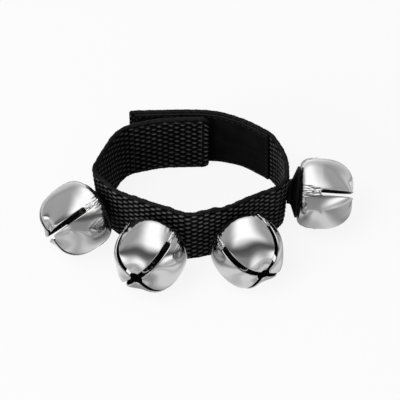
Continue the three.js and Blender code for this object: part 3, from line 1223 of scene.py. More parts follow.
class Patches:
    """The hook tape and the pile tape, with the stitches that hold them."""

    CORNER = 0.8 * MM

    # The pile: how finely its strip is divided, its tufts and its slower waves.
    PILE_STEP = 0.42 * MM
    PILE_ROWS = 52
    TUFTS = Ripple(1.1 * MM, seed=11, waves=12)
    TUFT_HEIGHT = 0.045 * MM
    WAVES = Ripple(6 * MM, seed=12)
    WAVE_HEIGHT = 0.05 * MM
    NAP_DEPTH = 0.08 * MM

    # The hooks: their tape, their spacing, and their turn, rise and half width from foot to tip.
    TAPE = 0.22 * MM
    TAPE_STEP = 0.8 * MM
    TAPE_ROWS = 24
    HOOK_MARGIN = 1.9 * MM
    HOOK_PITCH = 1.3 * MM
    HOOK_TURNS = (0, 35, 75, 120, 165, 205)
    HOOK_RISES = (0, 0.45, 0.78, 0.97, 0.95, 0.72)
    HOOK_WIDTHS = (1.5, 1.2, 1, 1, 0.85, 0.4)
    HOOK_HALF_WIDTH = 0.075 * MM
    HOOK_HEIGHT_SHARE = 0.95
    HOOK_BOW = 0.16 * MM
    HOOK_ROOT = 0.04 * MM
    HOOK_WEAVE = 0.8

    # The stitches: their spacing, their thread of six sides, and its path and thickness from end to end.
    STITCH_PITCH = 2.3 * MM
    STITCH_LENGTH = 1.9 * MM
    STITCH_SHARES = (0, 0.08, 0.22, 0.5, 0.78, 0.92, 1)
    STITCH_LIFTS = (-0.9, -0.2, 0.28, 0.42, 0.28, -0.2, -0.9)
    STITCH_RADII = (0.6, 0.9, 1, 1, 1, 0.9, 0.6)
    THREAD = 0.32 * MM
    THREAD_SIDES = 6
    THREAD_FLATNESS = 0.8

    # How high above the webbing the stitches lie in each tape, as a share of its thickness.
    HOOK_SEAM_SHARE = 0.4
    PILE_SEAM_SHARE = 0.8

    def __init__(self, path: StrapPath) -> None:
        """Keeps the strap's line and the finishes.

        Args:
            path: The strap's line.
        """
        self.path = path
        self.low = (path.cuff.width - path.cuff.patch_height) / 2
        self.high = self.low + path.cuff.patch_height
        self.near = path.cuff.thickness / 2 + path.cuff.sewn_gap
        self.pile_finish = PileFinish(self.high / MM).build()
        hook_nylon = TapeFinish("hook_nylon", low=0.006, high=0.016, roughness=0.45, grain=900.0)
        self.hook_finish = hook_nylon.build()
        twisted_thread = TapeFinish("twisted_thread", low=0.003, high=0.012, roughness=0.6, grain=2500.0)
        self.thread_finish = twisted_thread.build()

    def nap(self, along: Array, across: Array, face: Face) -> Array:
        """Relief of the pile: soft tufts on the inner face."""
        if face is Face.OUTER:
            return self.flat(along, across, face)
        tufts, waves = self.TUFTS.at(along, across), self.WAVES.at(along, across)
        return self.TUFT_HEIGHT * tufts + self.WAVE_HEIGHT * waves - self.NAP_DEPTH

    @staticmethod
    def flat(along: Array, across: Array, face: Face) -> Array:
        """Relief of a plain face."""
        return 0 * along * across

    def _tape(self, maker: PieceMaker, **given: object) -> None:
        """Adds a tape's strip, with the height and the rounded corners that both tapes share.

        Args:
            maker: The tape's piece.
            **given: The strip's other values, as Band takes them.
        """
        band = Band(
            path=self.path,
            low=self.low,
            high=self.high,
            corner_radius=self.CORNER,
            round_start=True,
            round_end=True,
            **given,
        )
        band.build(maker)

    def pile(self) -> None:
        """Makes the pile tape on the outer end's inner face."""
        maker = PieceMaker()
        self._tape(
            maker,
            from_arc=self.path.pile_from,
            to_arc=self.path.pile_to,
            near=-self.near - self.path.cuff.pile_thickness,
            far=-self.near,
            step=self.PILE_STEP,
            rows=self.PILE_ROWS,
            relief=self.nap,
        )
        bind(maker.make("pile_tape", self.pile_finish), "pile_patch", "outer_end")

    def hooks(self) -> None:
        """Makes the hook tape on the inner end's outer face: a thin tape and its rows of hooks."""
        path = self.path
        face = self.near + self.TAPE
        maker = PieceMaker()
        self._tape(
            maker,
            from_arc=path.hook_from,
            to_arc=path.hook_to,
            near=self.near,
            far=face,
            step=self.TAPE_STEP,
            rows=self.TAPE_ROWS,
            relief=self.flat,
        )
        margin, pitch = self.HOOK_MARGIN, self.HOOK_PITCH
        arcs = np.arange(path.hook_from + margin, path.hook_to - margin, pitch)
        for row, level in enumerate(np.arange(self.low + margin, self.high - margin, pitch)):
            for arc in arcs + (row % 2) * pitch / 2:
                self._hook(maker, float(arc), float(level), face, -1 if row % 2 else 1)
        bind(maker.make("hook_tape", self.hook_finish), "hook_patch", "inner_end")

    def _hook(self, maker: PieceMaker, arc: float, level: float, floor: float, way: int) -> None:
        """Adds one hook.

        Args:
            maker: The tape's piece.
            arc: Its place along the strap.
            level: Its height.
            floor: Offset of the tape's face.
            way: The way that it bends along the strap, 1 or -1.
        """
        reach = (self.path.cuff.hook_thickness - self.TAPE) * self.HOOK_HEIGHT_SHARE
        turns = np.radians(np.array(self.HOOK_TURNS))
        along = arc + way * self.HOOK_BOW * (1 - np.cos(turns))
        lift = floor - self.HOOK_ROOT + reach * np.array(self.HOOK_RISES)
        rings = []
        for a, o, s in zip(along, lift, self.HOOK_HALF_WIDTH * np.array(self.HOOK_WIDTHS)):
            corners = [(-s, -s), (s, -s), (s, s), (-s, s)]
            rings.append([self.path.place(a + da, o, level + dl) for da, dl in corners])
        points = np.array(rings).reshape(-1, 3)
        faces = grid_faces(len(along), 4, wrap=True).tolist()
        last = 4 * (len(along) - 1)
        faces += [[0, 1, 2, 3], [last + 3, last + 2, last + 1, last]]
        marks = {"weave": self.HOOK_WEAVE, "along_mm": arc / MM, "across_mm": level / MM}
        maker.add(points, faces, **{name: np.full(len(points), mark) for name, mark in marks.items()})

    def _stitch(self, maker: PieceMaker, start: Array, end: Array, offset: float, side: float) -> None:
        """Adds one stitch that dips into the webbing at both ends.

        Args:
            maker: The stitches' piece.
            start: Its start, length along and height.
            end: Its end.
            offset: Offset of the face that it lies on.
            side: 1 where that face looks outwards, -1 inwards.
        """
        shares = np.array(self.STITCH_SHARES)
        lift = self.THREAD * np.array(self.STITCH_LIFTS)
        radius = self.THREAD / 2 * np.array(self.STITCH_RADII)
        sides = self.THREAD_SIDES
        angles = np.arange(sides) * 2 * math.pi / sides
        middle = start + (end - start) * shares[:, None]
        along = (end - start) / np.linalg.norm(end - start)
        sway = np.cos(angles)[None, :] * radius[:, None]
        rise = np.sin(angles)[None, :] * radius[:, None] * self.THREAD_FLATNESS + lift[:, None]
        arcs = middle[:, :1] - along[1] * sway
        levels = middle[:, 1:] + along[0] * sway
        points = self.path.place(arcs, offset + side * rise, levels)
        faces = grid_faces(len(shares), sides, wrap=True).tolist()
        for first, order in ((0, 1), (sides * (len(shares) - 1), -1)):
            ring = list(range(first, first + sides))
            faces += [ring[:4][::order], [ring[k] for k in (3, 4, 5, 0)][::order]]
        maker.add(points, faces)

    def _run(self, maker: PieceMaker, corners: Sequence[tuple], offset: float, side: float) -> None:
        """Sews a row of stitches from corner to corner.

        Args:
            maker: The stitches' piece.
            corners: Places, length along and height.
            offset: Offset of the face.
            side: The way that the face looks.
        """
        slack = (1 - self.STITCH_LENGTH / self.STITCH_PITCH) / 2
        for a, b in zip(np.array(corners), np.array(corners[1:])):
            count = max(1, round(np.linalg.norm(b - a) / self.STITCH_PITCH))
            for k in range(count):
                start = a + (b - a) * (k + slack) / count
                end = a + (b - a) * (k + 1 - slack) / count
                self._stitch(maker, start, end, offset, side)

    def seam(self, name: str, node: str, body: str, from_arc: float, to_arc: float, side: int) -> None:
        """Sews one tape on.

        Args:
            name: Name of the piece.
            node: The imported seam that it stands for.
            body: The body that it rides on.
            from_arc: Where the tape starts.
            to_arc: Where it ends.
            side: 1 where the webbing shows on the outer face, -1 on the inner.
        """
        cuff = self.path.cuff
        inset = cuff.seam_inset + self.THREAD / 2
        a, b = from_arc + inset, to_arc - inset
        low, high = self.low + inset, self.high - inset
        box = [(a, low), (b, low), (b, high), (a, high), (a, low)]
        maker = PieceMaker()
        self._run(maker, box, side * cuff.thickness / 2, side)
        hooks, pile = cuff.hook_thickness * self.HOOK_SEAM_SHARE, cuff.pile_thickness * self.PILE_SEAM_SHARE
        self._run(maker, box, -side * (self.near + (hooks if side < 0 else pile)), -side)
        bind(maker.make(name, self.thread_finish), node, body)

    def build(self) -> None:
        """Makes both tapes and both seams."""
        path = self.path
        self.pile()
        self.hooks()
        self.seam("hook_tape_stitches", "hook_patch_seam", "inner_end", path.hook_from, path.hook_to, -1)
        self.seam("pile_tape_stitches", "pile_patch_seam", "outer_end", path.pile_from, path.pile_to, 1)


def rounded(corners: Sequence[tuple[float, float, float]], steps: int) -> Array:
    """An outline with its corners rounded.

    Args:
        corners: Radius, height and rounding of each corner.
        steps: Points in each rounding.

    Returns:
        The outline's points, radius and height.
    """
    places = np.array([c[:2] for c in corners])
    outline = []
    for k, (radius, height, ease) in enumerate(corners):
        here = np.array([radius, height])
        if ease <= 0:
            outline.append(here)
            continue
        before, after = places[k - 1] - here, places[(k + 1) % len(places)] - here
        a = here + before / np.linalg.norm(before) * min(ease, np.linalg.norm(before) / 2)
        b = here + after / np.linalg.norm(after) * min(ease, np.linalg.norm(after) / 2)
        for t in np.linspace(0, 1, steps):
            outline.append((1 - t) ** 2 * a + 2 * t * (1 - t) * here + t**2 * b)
    return np.array(outline)


def lathe(outline: Array, segments: int, closed: bool) -> tuple[Array, list[list[int]]]:
    """Turns an outline about +Z.

    Args:
        outline: Radius and height of each point.
        segments: Steps round the axis.
        closed: Whether the outline closes on itself. If not, it starts and ends on the axis.

    Returns:
        Points and faces of a closed body.
    """
    angles = np.arange(segments) * 2 * math.pi / segments
    rows = outline if closed else outline[1:-1]
    points = np.stack(
        [
            rows[:, :1] * np.cos(angles),
            rows[:, :1] * np.sin(angles),
            np.repeat(rows[:, 1:], segments, axis=1),
        ],
        axis=-1,
    ).reshape(-1, 3)
    faces = grid_faces(len(rows), segments, wrap=True).tolist()
    first_of_last = (len(rows) - 1) * segments
    if closed:
        around = np.arange(segments)
        beside = (around + 1) % segments
        seam = [around + first_of_last, around, beside, beside + first_of_last]
        return points, faces + np.stack(seam, axis=-1).tolist()
    poles = np.array([[0, 0, outline[0, 1]], [0, 0, outline[-1, 1]]])
    low, high = len(points), len(points) + 1
    for k in range(segments):
        beside = (k + 1) % segments
        faces.append([low, k, beside])
        faces.append([high, first_of_last + beside, first_of_last + k])
    return np.vstack([points, poles]), faces


@dataclass(frozen=True)
class Crimp:
    """The pinched metal between a slot's end and the base."""

    half_width: float = 0.8 * MM
    groove: float = 0.3 * MM
    groove_width: float = 0.17 * MM
    crumple: float = 0.13 * MM
    pleat: float = 0.15 * MM
    pleat_pitch: float = 1.5 * MM
    pleat_reach: float = 4.0 * MM
    wander: float = 0.16 * MM
    wander_turns: float = 2.2
    wander_waves: int = 4
    fold_width: float = 0.9 * MM
    fold_length: float = 1.7 * MM
    fold_waves: int = 6
    fold_rest: float = 0.4
    sway: float = 0.8
    sway_pace: float = 5
    drawn_rise: tuple[float, float] = (0.02, 0.25)
    drawn_fall: tuple[float, float] = (0.9, 1.0)
    pleat_rise: tuple[float, float] = (0.0, 0.2)
    pleat_fall: tuple[float, float] = (0.35, 0.8)

    def depth(self, beside: Array, level: Array, foot: float, top: float, seed: int) -> Array:
        """How far the pinch draws the metal in.

        Args:
            beside: Distance from the slot's line.
            level: Height along the bell's axis.
            foot: Height of the bell's base.
            top: Height of the slot's end.
            seed: Number that chooses the crumples.

        Returns:
            Distance inwards, negative where the metal stands proud.
        """
        rise = (level - foot) / (top - foot)
        drawn = smooth_window(rise, self.drawn_rise, self.drawn_fall)
        wander = smooth_noise(rise * self.wander_turns, rise * 0, seed, self.wander_waves)
        side = beside - self.wander * wander
        pinch = self.groove * np.exp(-(((np.abs(side) - self.half_width) / self.groove_width) ** 2))
        inside = np.exp(-((side / self.half_width) ** 4))
        folds = smooth_noise(side / self.fold_width, level / self.fold_length, seed + 1, self.fold_waves)
        lumps = inside * self.crumple * (folds - self.fold_rest)
        fade = np.exp(-((side / self.pleat_reach) ** 2)) * (1 - inside)
        low = smooth_window(rise, self.pleat_rise, self.pleat_fall)
        sway = self.sway * np.sin(seed + rise * self.sway_pace)
        ripple = np.cos(2 * math.pi * np.abs(side) / self.pleat_pitch + sway)
        return drawn * (pinch + lumps) + low * fade * self.pleat * ripple


@dataclass(frozen=True)
class Arch:
    """Half the outline of a bell in one plane through its axis: base, widest girth and tip."""

    TURN_SAMPLES = 400

    base_radius: float
    girth: float
    reach: float
    base_power: float
    tip_power: float

    def shoulder(self, turns: Array, depth: float) -> tuple[Array, Array]:
        """The outline from the base to the girth.

        Args:
            turns: Angles from 0 at the base to a quarter turn at the girth.
            depth: Height of the girth over the base.

        Returns:
            Radius, and height over the girth.
        """
        up, out = np.cos(turns), np.sin(turns)
        span = (up**self.base_power + out**self.base_power) ** (-1 / self.base_power)
        return self.base_radius + (self.girth - self.base_radius) * span * out, -depth * span * up

    def dome(self, radius: Array) -> Array:
        """Height of the outline over the girth.

        Args:
            radius: Radius of each place.

        Returns:
            The height.
        """
        share = np.clip(radius / self.girth, 0, 1)
        return self.reach * np.clip(1 - share**self.tip_power, 0, None) ** (1 / self.tip_power)

    def cheek(self, turns: Array) -> tuple[Array, Array]:
        """The outline from the girth towards the tip.

        Args:
            turns: Angles from 0 at the girth to a quarter turn at the tip.

        Returns:
            Radius, and height over the girth.
        """
        out, up = np.cos(turns), np.sin(turns)
        span = (up**self.tip_power + out**self.tip_power) ** (-1 / self.tip_power)
        return self.girth * span * out, self.reach * span * up

    def turn_at(self, radius: float) -> float:
        """The angle at which the cheek has a radius."""
        turns = np.linspace(0, math.pi / 2, self.TURN_SAMPLES)
        return float(np.interp(-radius, -self.cheek(turns)[0], turns))


class BellShell:
    """A pressed bell: a flat base, a tight shoulder and four flattened petals with rolled edges."""

    # A petal's columns of points, closer at its edges, and its rows from the base to the tip.
    COLUMNS = 49
    CROWDING = 0.92
    BASE_ROW_SHARES = (0.0, 0.3, 0.6, 0.8, 0.9, 0.96)
    SHOULDER_ROWS = 27
    SLOT_END_ROWS = 10
    CHEEK_ROWS = 34
    CHEEK_LAST_SHARE = 0.992
    TIP_FIRST_SHARE = 0.015
    TIP_ROWS = 17

    # The rolled edge, the flatter tip with the crease round it, and the sheet's shallow waves.
    LIP = 0.3 * MM
    TIP_SLOPE_SHARE = 0.7
    CREASE_DEPTH = 0.05 * MM
    CREASE_WIDTH = 0.25 * MM
    WAVE_DEPTH = 0.02 * MM
    WAVE_PACE = 1.1
    WAVE_STEP = 3
    WAVE_LENGTH = 8 * MM
    WAVE_COUNT = 5
    WAVE_LEVELS = (12 * MM, 15 * MM)

    # The step of the crimps' seeds from bell to bell, and the distance under which points are joined.
    SEED_STEP = 40
    WELD = 0.0005 * MM

    def __init__(self, bell: BellSizes, crimp: Crimp) -> None:
        """Works out the bell's outlines.

        Args:
            bell: Sizes of the bell.
            crimp: The pinch under each slot.
        """
        self.bell = bell
        self.crimp = crimp
        self.slot = bell.slot_width / 2
        self.slot_end = bell.centre + self.slot
        self.corner = bell.tip_hole_side * math.sqrt(2) / 2
        self.at_slot, self.at_middle = (
            Arch(bell.base_diameter / 2, bell.diameter / 2, bell.reach, bell.shoulder_power, power)
            for power in (bell.slot_power, bell.petal_power)
        )
        spread = np.linspace(0, 1, self.COLUMNS)
        self.shares = spread - self.CROWDING * np.sin(2 * math.pi * spread) / (2 * math.pi)

    def _between(self, slot: Array, middle: Array, angle: Array) -> Array:
        """Blends the outline in a slot's plane with the one in a petal's middle."""
        share = (1 + np.cos(4 * angle)) / 2
        return slot * share + middle * (1 - share)

    def _angles(self, edge: Array) -> Array:
        """Angles across a petal, from its edge at one slot to its edge at the next."""
        return edge + (math.pi / 2 - 2 * edge) * self.shares

    def _floor(self) -> tuple[Array, Array, Array]:
        """Rows of the flat base: radius, height and angle by row and column."""
        shares = np.array(self.BASE_ROW_SHARES)[:, None]
        angle = self._angles(0 * shares)
        bore = self.bell.bore_diameter / 2
        rim = self._between(self.at_slot.base_radius, self.at_middle.base_radius, angle)
        return bore + (rim - bore) * shares, self.bell.base_low + 0 * angle, angle

    def _shoulder(self) -> tuple[Array, Array, Array]:
        """Rows from the base to the girth, as _floor gives them."""
        turns = np.linspace(0, math.pi / 2, self.SHOULDER_ROWS)[:, None]
        angle = self._angles(0 * turns)
        depth = self.bell.base_depth
        slot, middle = (arch.shoulder(turns, depth) for arch in (self.at_slot, self.at_middle))
        radius = self._between(slot[0], middle[0], angle)
        return radius, self.bell.centre + self._between(slot[1], middle[1], angle), angle

    def _cheek(self) -> tuple[Array, Array, Array]:
        """Rows from the girth to the crease ring round the tip, as _floor gives them."""
        ring = self.bell.tip_flat_diameter / 2
        quarter = np.linspace(0, math.pi / 2, self.SLOT_END_ROWS)[1:]
        rise = self.slot * (1 - np.cos(quarter)) / self.at_slot.reach
        ends = [arch.turn_at(ring) for arch in (self.at_slot, self.at_middle)]
        steps = np.insert(np.linspace(0, 1, self.CHEEK_ROWS)[1:], -1, self.CHEEK_LAST_SHARE)
        turns = [np.concatenate([rise, rise[-1] + (end - rise[-1]) * steps])[:, None] for end in ends]
        slot, middle = self.at_slot.cheek(turns[0]), self.at_middle.cheek(turns[1])
        under = np.clip(self.slot - slot[1], 0, self.slot)
        half = np.sqrt(self.slot**2 - under**2)
        angle = self._angles(np.arcsin(half / slot[0]))
        radius = self._between(slot[0], middle[0], angle)
        return radius, self.bell.centre + self._between(slot[1], middle[1], angle), angle

    def _tip(self) -> tuple[Array, Array, Array]:
        """Rows of the flatter tip, from the crease ring to the square hole, as _floor gives them."""
        ring = self.bell.tip_flat_diameter / 2
        steps = np.linspace(0, 1, self.TIP_ROWS)[:, None]
        steps[0] = self.TIP_FIRST_SHARE
        end_angle = self._angles(math.atan2(self.slot, self.corner - self.slot))
        end = self.corner / (np.cos(end_angle) + np.sin(end_angle))
        radius = ring + (end - ring) * steps
        angle = self._angles(np.arcsin(self.slot / radius[:, :1]))
        dome = self._between(self.at_slot.dome(radius), self.at_middle.dome(radius), angle)
        crease = self._between(self.at_slot.dome(ring), self.at_middle.dome(ring), angle)
        return radius, self.bell.centre + crease + (dome - crease) * self.TIP_SLOPE_SHARE, angle

    def _lip(self, x: Array, y: Array, level: Array) -> Array:
        """How far the rolled edge of a petal draws in, from the nearest slot or hole."""
        under = np.clip(self.slot_end - level, 0, None)
        gaps = [np.hypot(side, under) - self.slot for side in (x, y)]
        gaps.append(np.where(level > self.slot_end, (x + y - self.corner) / math.sqrt(2), 1.0))
        away = np.clip(np.minimum.reduce(gaps), 0, self.LIP)
        return self.LIP - np.sqrt(np.clip(self.LIP**2 - (self.LIP - away) ** 2, 0, None))

    def _crease(self, radius: Array, level: Array) -> Array:
        """How far the ring pressed round the tip draws in."""
        away = (radius - self.bell.tip_flat_diameter / 2) / self.CREASE_WIDTH
        return np.where(level > self.slot_end, self.CREASE_DEPTH * np.exp(-(away**2)), 0)

    def _crimps(self, radius: Array, level: Array, angle: Array, seeds: tuple[int, int]) -> Array:
        """How far the pinches at both sides of a petal draw the metal in."""
        total = np.zeros_like(level)
        foot, top = self.bell.base_low, self.bell.centre
        for seed, side in zip(seeds, (radius * angle, radius * (angle - math.pi / 2))):
            total += self.crimp.depth(side, level, foot, top, seed)
        return np.where(level < top, total, 0)

    def build(self, number: int, material: bpy.types.Material, turn: float) -> bpy.types.Object:
        """Presses one bell.

        Args:
            number: The bell, from 1.
            material: Its finish.
            turn: Turn of its slots about its axis, in radians.

        Returns:
            The bell, in its own frame: +Z out along the rivet.
        """
        parts = [self._floor(), self._shoulder(), self._cheek(), self._tip()]
        slot_row = len(parts[0][0]) + len(parts[1][0]) - 1
        radius, level, angle = (np.concatenate(rows) for rows in zip(*parts))
        x, y = radius * np.cos(angle), radius * np.sin(angle)
        skin = np.stack([x, y, level], axis=-1)
        outs = np.cross(np.gradient(skin, axis=1), np.gradient(skin, axis=0))
        outs /= np.linalg.norm(outs, axis=-1, keepdims=True)
        count, columns = radius.shape
        sheet = count * columns
        points, faces, inside = [], [], []
        for petal in range(4):
            seeds = tuple(self.SEED_STEP * number + (petal + k) % 4 for k in (0, 1))
            inwards = self._lip(x, y, level) + self._crimps(radius, level, angle, seeds)
            around = angle * self.WAVE_PACE + petal * self.WAVE_STEP
            waves = smooth_noise(around, level / self.WAVE_LENGTH, number, self.WAVE_COUNT)
            inwards = inwards + self.WAVE_DEPTH * waves * smooth_step(level, *self.WAVE_LEVELS)
            inwards = inwards + self._crease(radius, level)
            about = Matrix.Rotation(petal * math.pi / 2 + turn, 3, "Z")
            for depth, side in ((inwards, 0), (self.bell.wall + 0 * inwards, 1)):
                moved = (skin - outs * depth[..., None]).reshape(-1, 3)
                points.append(moved @ np.array(about).T)
                inside.append(np.full(sheet, side))
            first = petal * 2 * sheet
            faces += grid_faces(count, columns, first).tolist()
            faces += grid_faces(count, columns, first + sheet)[:, ::-1].tolist()
            faces += self._walls(first, sheet, count, columns, slot_row)
        maker = PieceMaker()
        maker.add(np.vstack(points), faces, inside=np.concatenate(inside))
        return maker.make(f"bell_{number}_shell", material, weld=self.WELD)

    @staticmethod
    def _walls(first: int, sheet: int, count: int, columns: int, slot_row: int) -> list[list[int]]:
        """Faces that join a petal's outer and inner sheets along the slots, the hole and the bore."""
        faces = []
        for row in range(slot_row, count - 1):
            for column, order in ((0, 1), (columns - 1, -1)):
                a, b = first + row * columns + column, first + (row + 1) * columns + column
                faces.append([a, a + sheet, b + sheet, b][::order])
        for row, order in ((0, -1), (count - 1, 1)):
            for column in range(columns - 1):
                a = first + row * columns + column
                faces.append([a, a + sheet, a + 1 + sheet, a + 1][::order])
        return faces


class Bell:
    """One bell with its ball, disc, rivet and washer, at its seat on the webbing."""

    SEGMENTS = 96

    # The disc's roundings: its edges, under its neck, and in its dish.
    DISC_EASE = 0.25 * MM
    NECK_EASE = 0.5 * MM
    DISH_EASE = 0.8 * MM
    DISC_EASE_POINTS = 6

    # The ball: its points, its flash line, its dents, and how it has rolled.
    BALL_ROWS = 41
    BALL_SEGMENTS = 64
    FLASH_SHARE = 0.012
    FLASH_WIDTH = 0.05
    DENT_SHARE = 0.008
    DENT_PACE = 1.3
    DENT_SEED = 90
    BALL_ROLL = 0.6
    BALL_TILT = 0.9

    # The rivet's tail, rolled round a hollow, its domed head, and the washer's edges.
    HOLLOW_DEPTH = 0.35 * MM
    HOLLOW_SHARE = 0.5
    ROLL_SHARE = 0.75
    TAIL_EASES = (0.15 * MM, 0.25 * MM, 0.35 * MM, 0.25 * MM)
    HEAD_EDGE_SHARE = 0.45
    HEAD_TOP_SHARE = 0.62
    HEAD_EASES = (0.2 * MM, 0.5 * MM, 1.1 * MM)
    WASHER_EASE = 0.22 * MM
    RIVET_EASE_POINTS = 5

    def __init__(
        self, number: int, seat: Seat, bell: BellSizes, finishes: dict[str, bpy.types.Material]
    ) -> None:
        """Finds the bell's place.

        Args:
            number: The bell, from 1.
            seat: Its seat.
            bell: Sizes of the bell.
            finishes: The materials, by name.
        """
        self.number = number
        self.seat = seat
        self.bell = bell
        self.finishes = finishes
        joint = bell_joint(number)
        axis = Vector(joint["axis"]).normalized()
        along = Vector((0, 0, 1)).cross(axis).normalized()
        up = axis.cross(along)
        turn = Matrix((along, up, axis)).transposed().to_4x4()
        self.place = Matrix.Translation(Vector(joint["pos_m"])) @ turn

    def _settle(self, piece: bpy.types.Object, node: str, body: str) -> None:
        """Puts a piece in its place and binds it.

        Args:
            piece: The piece, in the bell's own frame.
            node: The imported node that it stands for, without the number.
            body: The body that it rides on.
        """
        piece.data.transform(self.place)
        bind(piece, f"{node}_{self.number}", body)

    def _turned(self, name: str, outline: Array, closed: bool, finish: str) -> bpy.types.Object:
        """A turned piece.

        Args:
            name: What it is.
            outline: Its half outline.
            closed: Whether the outline closes on itself.
            finish: Name of its material.

        Returns:
            The piece, in the bell's own frame.
        """
        maker = PieceMaker()
        maker.add(*lathe(outline, self.SEGMENTS, closed))
        return maker.make(f"bell_{self.number}_{name}", self.finishes[finish])

    def disc(self) -> None:
        """Turns the dished disc under the bell."""
        b = self.bell
        low, high = b.seat_gap, b.seat_gap + b.disc_height
        waist, rim, bore = b.disc_waist_diameter / 2, b.disc_rim_diameter / 2, b.bore_diameter / 2
        floor = low + b.disc_neck + b.disc_wall
        ease = self.DISC_EASE
        corners = [
            (bore, low, 0),
            (waist, low, ease),
            (waist, low + b.disc_neck, self.NECK_EASE),
            (rim, high - b.disc_edge, ease),
            (rim, high, ease),
            (rim - b.disc_wall, high, ease),
            (waist - b.disc_wall / 2, floor, self.DISH_EASE),
            (bore, floor, 0),
        ]
        piece = self._turned("disc", rounded(corners, self.DISC_EASE_POINTS), True, "disc")
        self._settle(piece, "backing_disc", "cuff_front")

    def ball(self) -> None:
        """Forms the ball, with the faint flash line of its forging and a few dents."""
        radius = self.bell.ball_diameter / 2
        polar = np.linspace(-math.pi / 2, math.pi / 2, self.BALL_ROWS)
        bulge = radius * (1 + self.FLASH_SHARE * np.exp(-((polar / self.FLASH_WIDTH) ** 2)))
        outline = np.stack([bulge * np.cos(polar), bulge * np.sin(polar)], axis=1)
        points, faces = lathe(outline, self.BALL_SEGMENTS, False)
        ways = points / np.linalg.norm(points, axis=1)[:, None]
        first, second = ways[:, 0] * self.DENT_PACE + ways[:, 2], ways[:, 1] * self.DENT_PACE
        dents = smooth_noise(first, second, self.DENT_SEED + self.number)
        points = points * (1 - self.DENT_SHARE * np.clip(dents, 0, 2))[:, None]
        roll = Matrix.Rotation(self.BALL_ROLL * self.number, 4, "X")
        tilt = roll @ Matrix.Rotation(self.BALL_TILT, 4, "Y")
        maker = PieceMaker()
        maker.add(points @ np.array(tilt.to_3x3()).T, faces)
        piece = maker.make(f"bell_{self.number}_ball", self.finishes["ball"])
        node = f"bell_ball_{self.number}"
        low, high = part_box(node)
        piece.data.transform(Matrix.Translation((low + high) / 2))
        bind(piece, node, f"ball_{self.number}")

    def fastening(self) -> None:
        """Turns the rivet, with its domed head and rolled tail, and the washer under the tail."""
        b = self.bell
        washer_high = -CUFF.thickness - b.seat_gap
        washer_low = washer_high - b.washer_thickness
        tail_high = washer_low - b.seat_gap
        tail_low = tail_high - b.rivet_tail_height
        head_low = b.base_low + b.wall + b.seat_gap
        head_high = head_low + b.rivet_head_height
        head, tail, shank = b.rivet_head_diameter / 2, b.rivet_tail_diameter / 2, b.rivet_shank / 2
        hollow = tail_low + self.HOLLOW_DEPTH
        hollow_ease, roll_ease, rim_ease, top_ease = self.TAIL_EASES
        under_ease, edge_ease, dome_ease = self.HEAD_EASES
        corners = [
            (0, hollow, 0),
            (shank * self.HOLLOW_SHARE, hollow, hollow_ease),
            (shank * self.ROLL_SHARE, tail_low, roll_ease),
            (tail, tail_low, rim_ease),
            (tail, tail_high, top_ease),
            (shank, tail_high, 0),
            (shank, head_low, 0),
            (head, head_low, under_ease),
            (head, head_low + b.rivet_head_height * self.HEAD_EDGE_SHARE, edge_ease),
            (head * self.HEAD_TOP_SHARE, head_high, dome_ease),
            (0, head_high, 0),
        ]
        piece = self._turned("rivet", rounded(corners, self.RIVET_EASE_POINTS), False, "rivet")
        self._settle(piece, "rivet", "cuff_front")
        bore, rim, ease = b.bore_diameter / 2, b.washer_diameter / 2, self.WASHER_EASE
        places = [(bore, washer_low), (rim, washer_low), (rim, washer_high), (bore, washer_high)]
        outline = rounded([(*place, ease) for place in places], self.RIVET_EASE_POINTS)
        piece = self._turned("washer", outline, True, "rivet")
        self._settle(piece, "rivet_washer", "cuff_front")

    def build(self) -> None:
        """Makes the bell's five pieces."""
        shell = BellShell(self.bell, Crimp())
        piece = shell.build(self.number, self.finishes["nickel"], math.radians(self.seat.turn))
        self._settle(piece, "bell_shell", f"bell_{self.number}")
        self.ball()
        self.disc()
        self.fastening()


